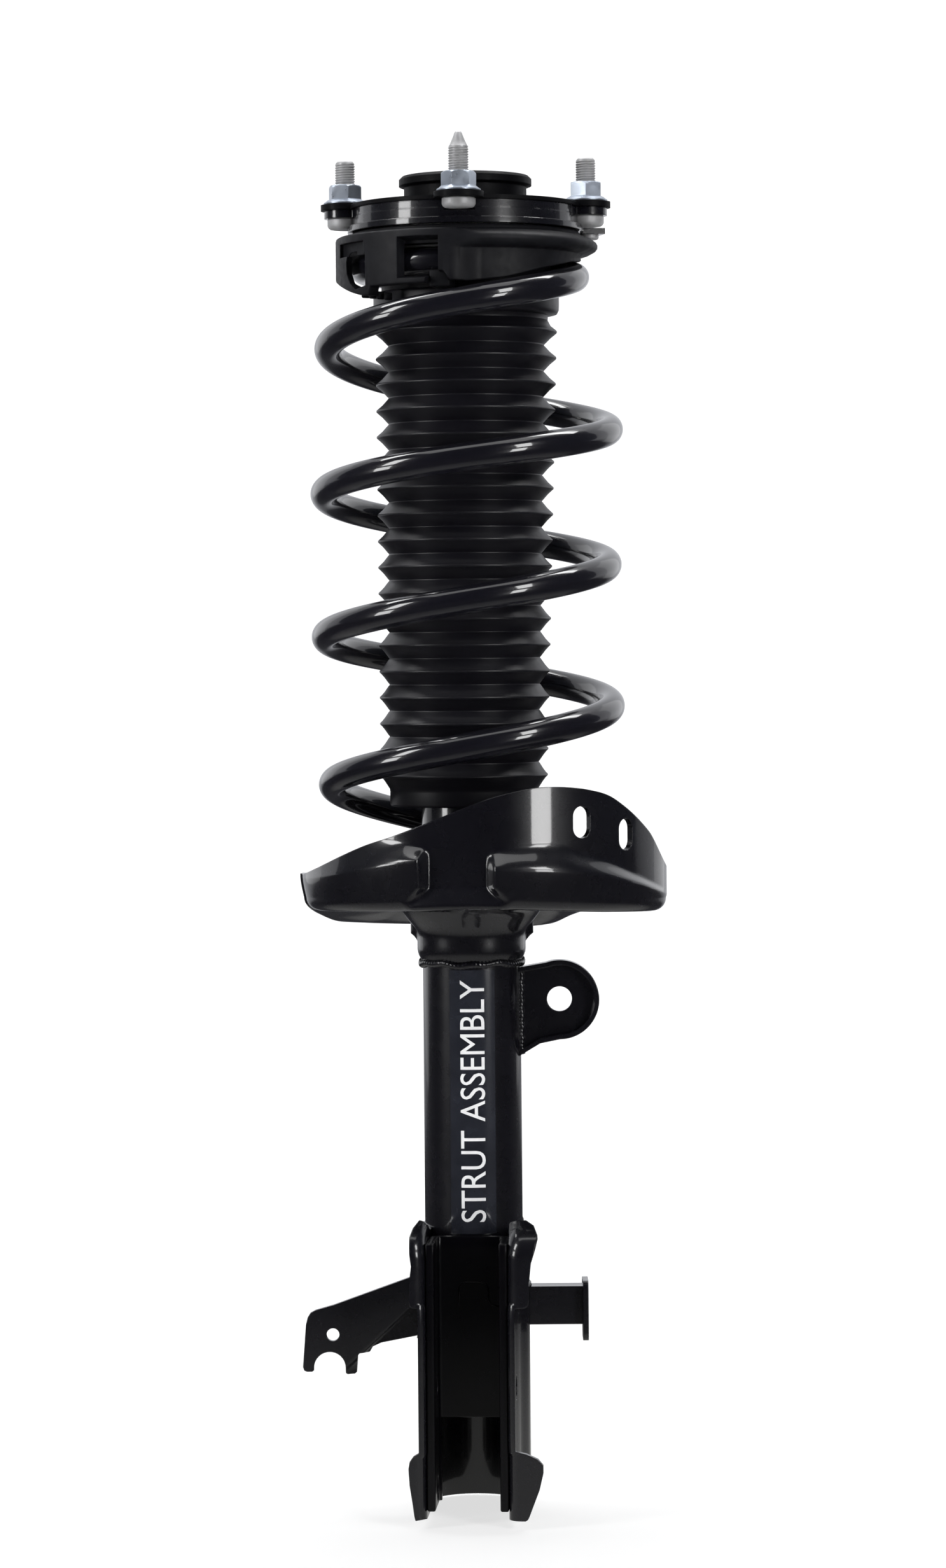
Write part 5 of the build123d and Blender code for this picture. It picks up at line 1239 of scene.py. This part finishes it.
def build_stage():
    """A pale floor sweeping up behind the part, self-lit for the camera, and glowing in reflections with a
    painted pool of light and a brighter painted wall.
    """
    profile = [(-6.0, FLOOR_Z), (SWEEP_BACK - SWEEP_BEND, FLOOR_Z)]
    for n in range(1, 13):
        a = pi / 2 * n / 12
        profile.append((SWEEP_BACK - SWEEP_BEND + SWEEP_BEND * sin(a), FLOOR_Z + SWEEP_BEND * (1 - cos(a))))
    profile.append((SWEEP_BACK, 5.0))
    verts = [(x, y, z) for y, z in profile for x in (-7.0, 7.0)]
    faces = [(2 * i, 2 * i + 1, 2 * i + 3, 2 * i + 2) for i in range(len(profile) - 1)]
    mesh = bpy.data.meshes.new("sweep_floor")
    mesh.from_pydata(verts, [], faces)
    for polygon in mesh.polygons:
        polygon.use_smooth = True
    mat, tree, shader = new_material("pale_floor")
    link = tree.links.new
    colour = ramp(tree, noise(tree, 3.0), [(0.3, (0.86, 0.86, 0.86)), (0.7, (0.9, 0.9, 0.9))])
    link(colour, shader.inputs["Base Color"])
    shader.inputs["Roughness"].default_value = 0.9
    # what reflections see: a painted pool of light near the part and a brighter painted wall behind it,
    # glowing though the floor is no lamp
    place = add_node(tree, "TexCoord").outputs["Object"]
    length = add_node(tree, "VectorMath")
    length.operation = "LENGTH"
    link(place, length.inputs[0])
    near = ramp(tree, length.outputs["Value"], [(0.62, (0.42, 0.42, 0.41)), (0.95, (0.03, 0.03, 0.035))])
    depth = add_node(tree, "SeparateXYZ")
    link(place, depth.inputs[0])
    behind = add_node(tree, "MapRange", From_Min=1.3, From_Max=2.3)
    link(depth.outputs["Y"], behind.inputs["Value"])
    glow = add_node(tree, "Mix")
    glow.data_type = "RGBA"
    link(behind.outputs["Result"], glow.inputs["Factor"])
    link(near, glow.inputs[6])
    glow.inputs[7].default_value = (0.62, 0.63, 0.66, 1)
    painted_reflection_glow = add_node(tree, "Emission")
    link(glow.outputs[2], painted_reflection_glow.inputs["Color"])
    # what the camera sees: the floor with some light of its own
    path = add_node(tree, "LightPath")
    pale = add_node(tree, "Emission", Color=(1, 1, 1, 1))
    seen = add_node(tree, "Math")
    seen.operation = "MULTIPLY"
    link(path.outputs["Is Camera Ray"], seen.inputs[0])
    seen.inputs[1].default_value = 0.7
    paler = add_node(tree, "MixShader")
    link(seen.outputs[0], paler.inputs["Fac"])
    link(shader.outputs["BSDF"], paler.inputs[1])
    link(pale.outputs["Emission"], paler.inputs[2])
    mix = add_node(tree, "MixShader")
    link(path.outputs["Is Glossy Ray"], mix.inputs["Fac"])
    link(paler.outputs["Shader"], mix.inputs[1])
    link(painted_reflection_glow.outputs["Emission"], mix.inputs[2])
    link(mix.outputs["Shader"], tree.nodes["Material Output"].inputs["Surface"])
    mesh.materials.append(mat)
    floor = bpy.data.objects.new("sweep_floor", mesh)
    bpy.context.scene.collection.objects.link(floor)
    floor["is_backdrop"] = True


def area_light(name, place, target, size, power, colour=(1, 1, 1)):
    data = bpy.data.lights.new(name, "AREA")
    data.shape = "RECTANGLE"
    data.size, data.size_y = size
    data.energy = power
    data.color = colour
    lamp = bpy.data.objects.new(name, data)
    lamp.location = place
    lamp.rotation_euler = (Vector(target) - Vector(place)).to_track_quat("-Z", "Y").to_euler()
    bpy.context.scene.collection.objects.link(lamp)


def around(azimuth, distance, height):
    """A point seen from the strut at an azimuth measured from the camera, positive to the right."""
    return (distance * sin(radians(azimuth)), -distance * cos(radians(azimuth)), height)


def build_light():
    world = bpy.data.worlds.new("studio")
    bpy.context.scene.world = world
    world.use_nodes = True
    tree = world.node_tree
    link = tree.links.new
    split = add_node(tree, "SeparateXYZ")
    link(add_node(tree, "TexCoord").outputs["Generated"], split.inputs[0])
    turn = add_node(tree, "MapRange", From_Min=-1.0, From_Max=1.0)
    link(split.outputs["Y"], turn.inputs["Value"])
    room = ramp(tree, turn.outputs["Result"], [(0.0, (0.010, 0.010, 0.016)), (0.55, (0.046, 0.050, 0.062))])
    dim = tree.nodes["Background"]
    link(room, dim.inputs["Color"])
    dim.inputs["Strength"].default_value = 1.0
    white = add_node(tree, "Background", Color=(1, 1, 1, 1), Strength=1.0)
    mix = add_node(tree, "MixShader")
    link(add_node(tree, "LightPath").outputs["Is Camera Ray"], mix.inputs["Fac"])
    link(dim.outputs["Background"], mix.inputs[1])
    link(white.outputs["Background"], mix.inputs[2])
    link(mix.outputs["Shader"], tree.nodes["World Output"].inputs["Surface"])
    middle = (0, 0, -0.3)
    area_light("box_left_high", around(-63, 1.9, 0.95), middle, (0.45, 0.9), 15)
    area_light("box_left_low", around(-63, 1.9, -0.1), middle, (0.45, 0.6), 9)
    area_light("box_right_high", around(41, 2.0, 0.9), middle, (0.45, 0.9), 15)
    area_light("box_right_low", around(38, 2.0, -0.15), middle, (0.4, 0.6), 9)
    area_light("edge_left", around(-140, 1.9, 0.1), middle, (1.0, 2.0), 2)
    area_light("edge_right", around(140, 1.9, 0.1), middle, (1.0, 2.0), 2)
    area_light("top_soft", (0, 0.2, 2.0), middle, (2.2, 2.2), 24)
    area_light("back_wash", (0, 0.9, 2.4), (0, 2.6, 0.0), (4.0, 1.0), 130)


def build_camera():
    data = bpy.data.cameras.new("camera")
    data.sensor_width = 36.0
    data.lens = PIXELS_PER_METRE * CAMERA_DISTANCE / IMAGE_HEIGHT * 36.0
    data.shift_y = (HORIZON_ROW - IMAGE_HEIGHT / 2) / IMAGE_HEIGHT
    data.clip_start = 0.05
    camera = bpy.data.objects.new("camera", data)
    camera.location = (0.002, -CAMERA_DISTANCE, HORIZON_Z)
    camera.rotation_euler = (Matrix.Rotation(pi / 2, 4, "X") @ Matrix.Rotation(-LEAN, 4, "Z")).to_euler()
    bpy.context.scene.collection.objects.link(camera)
    bpy.context.scene.camera = camera


build_stage()
build_light()
build_camera()
bpy.context.scene.view_settings.view_transform = "Standard"

low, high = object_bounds()
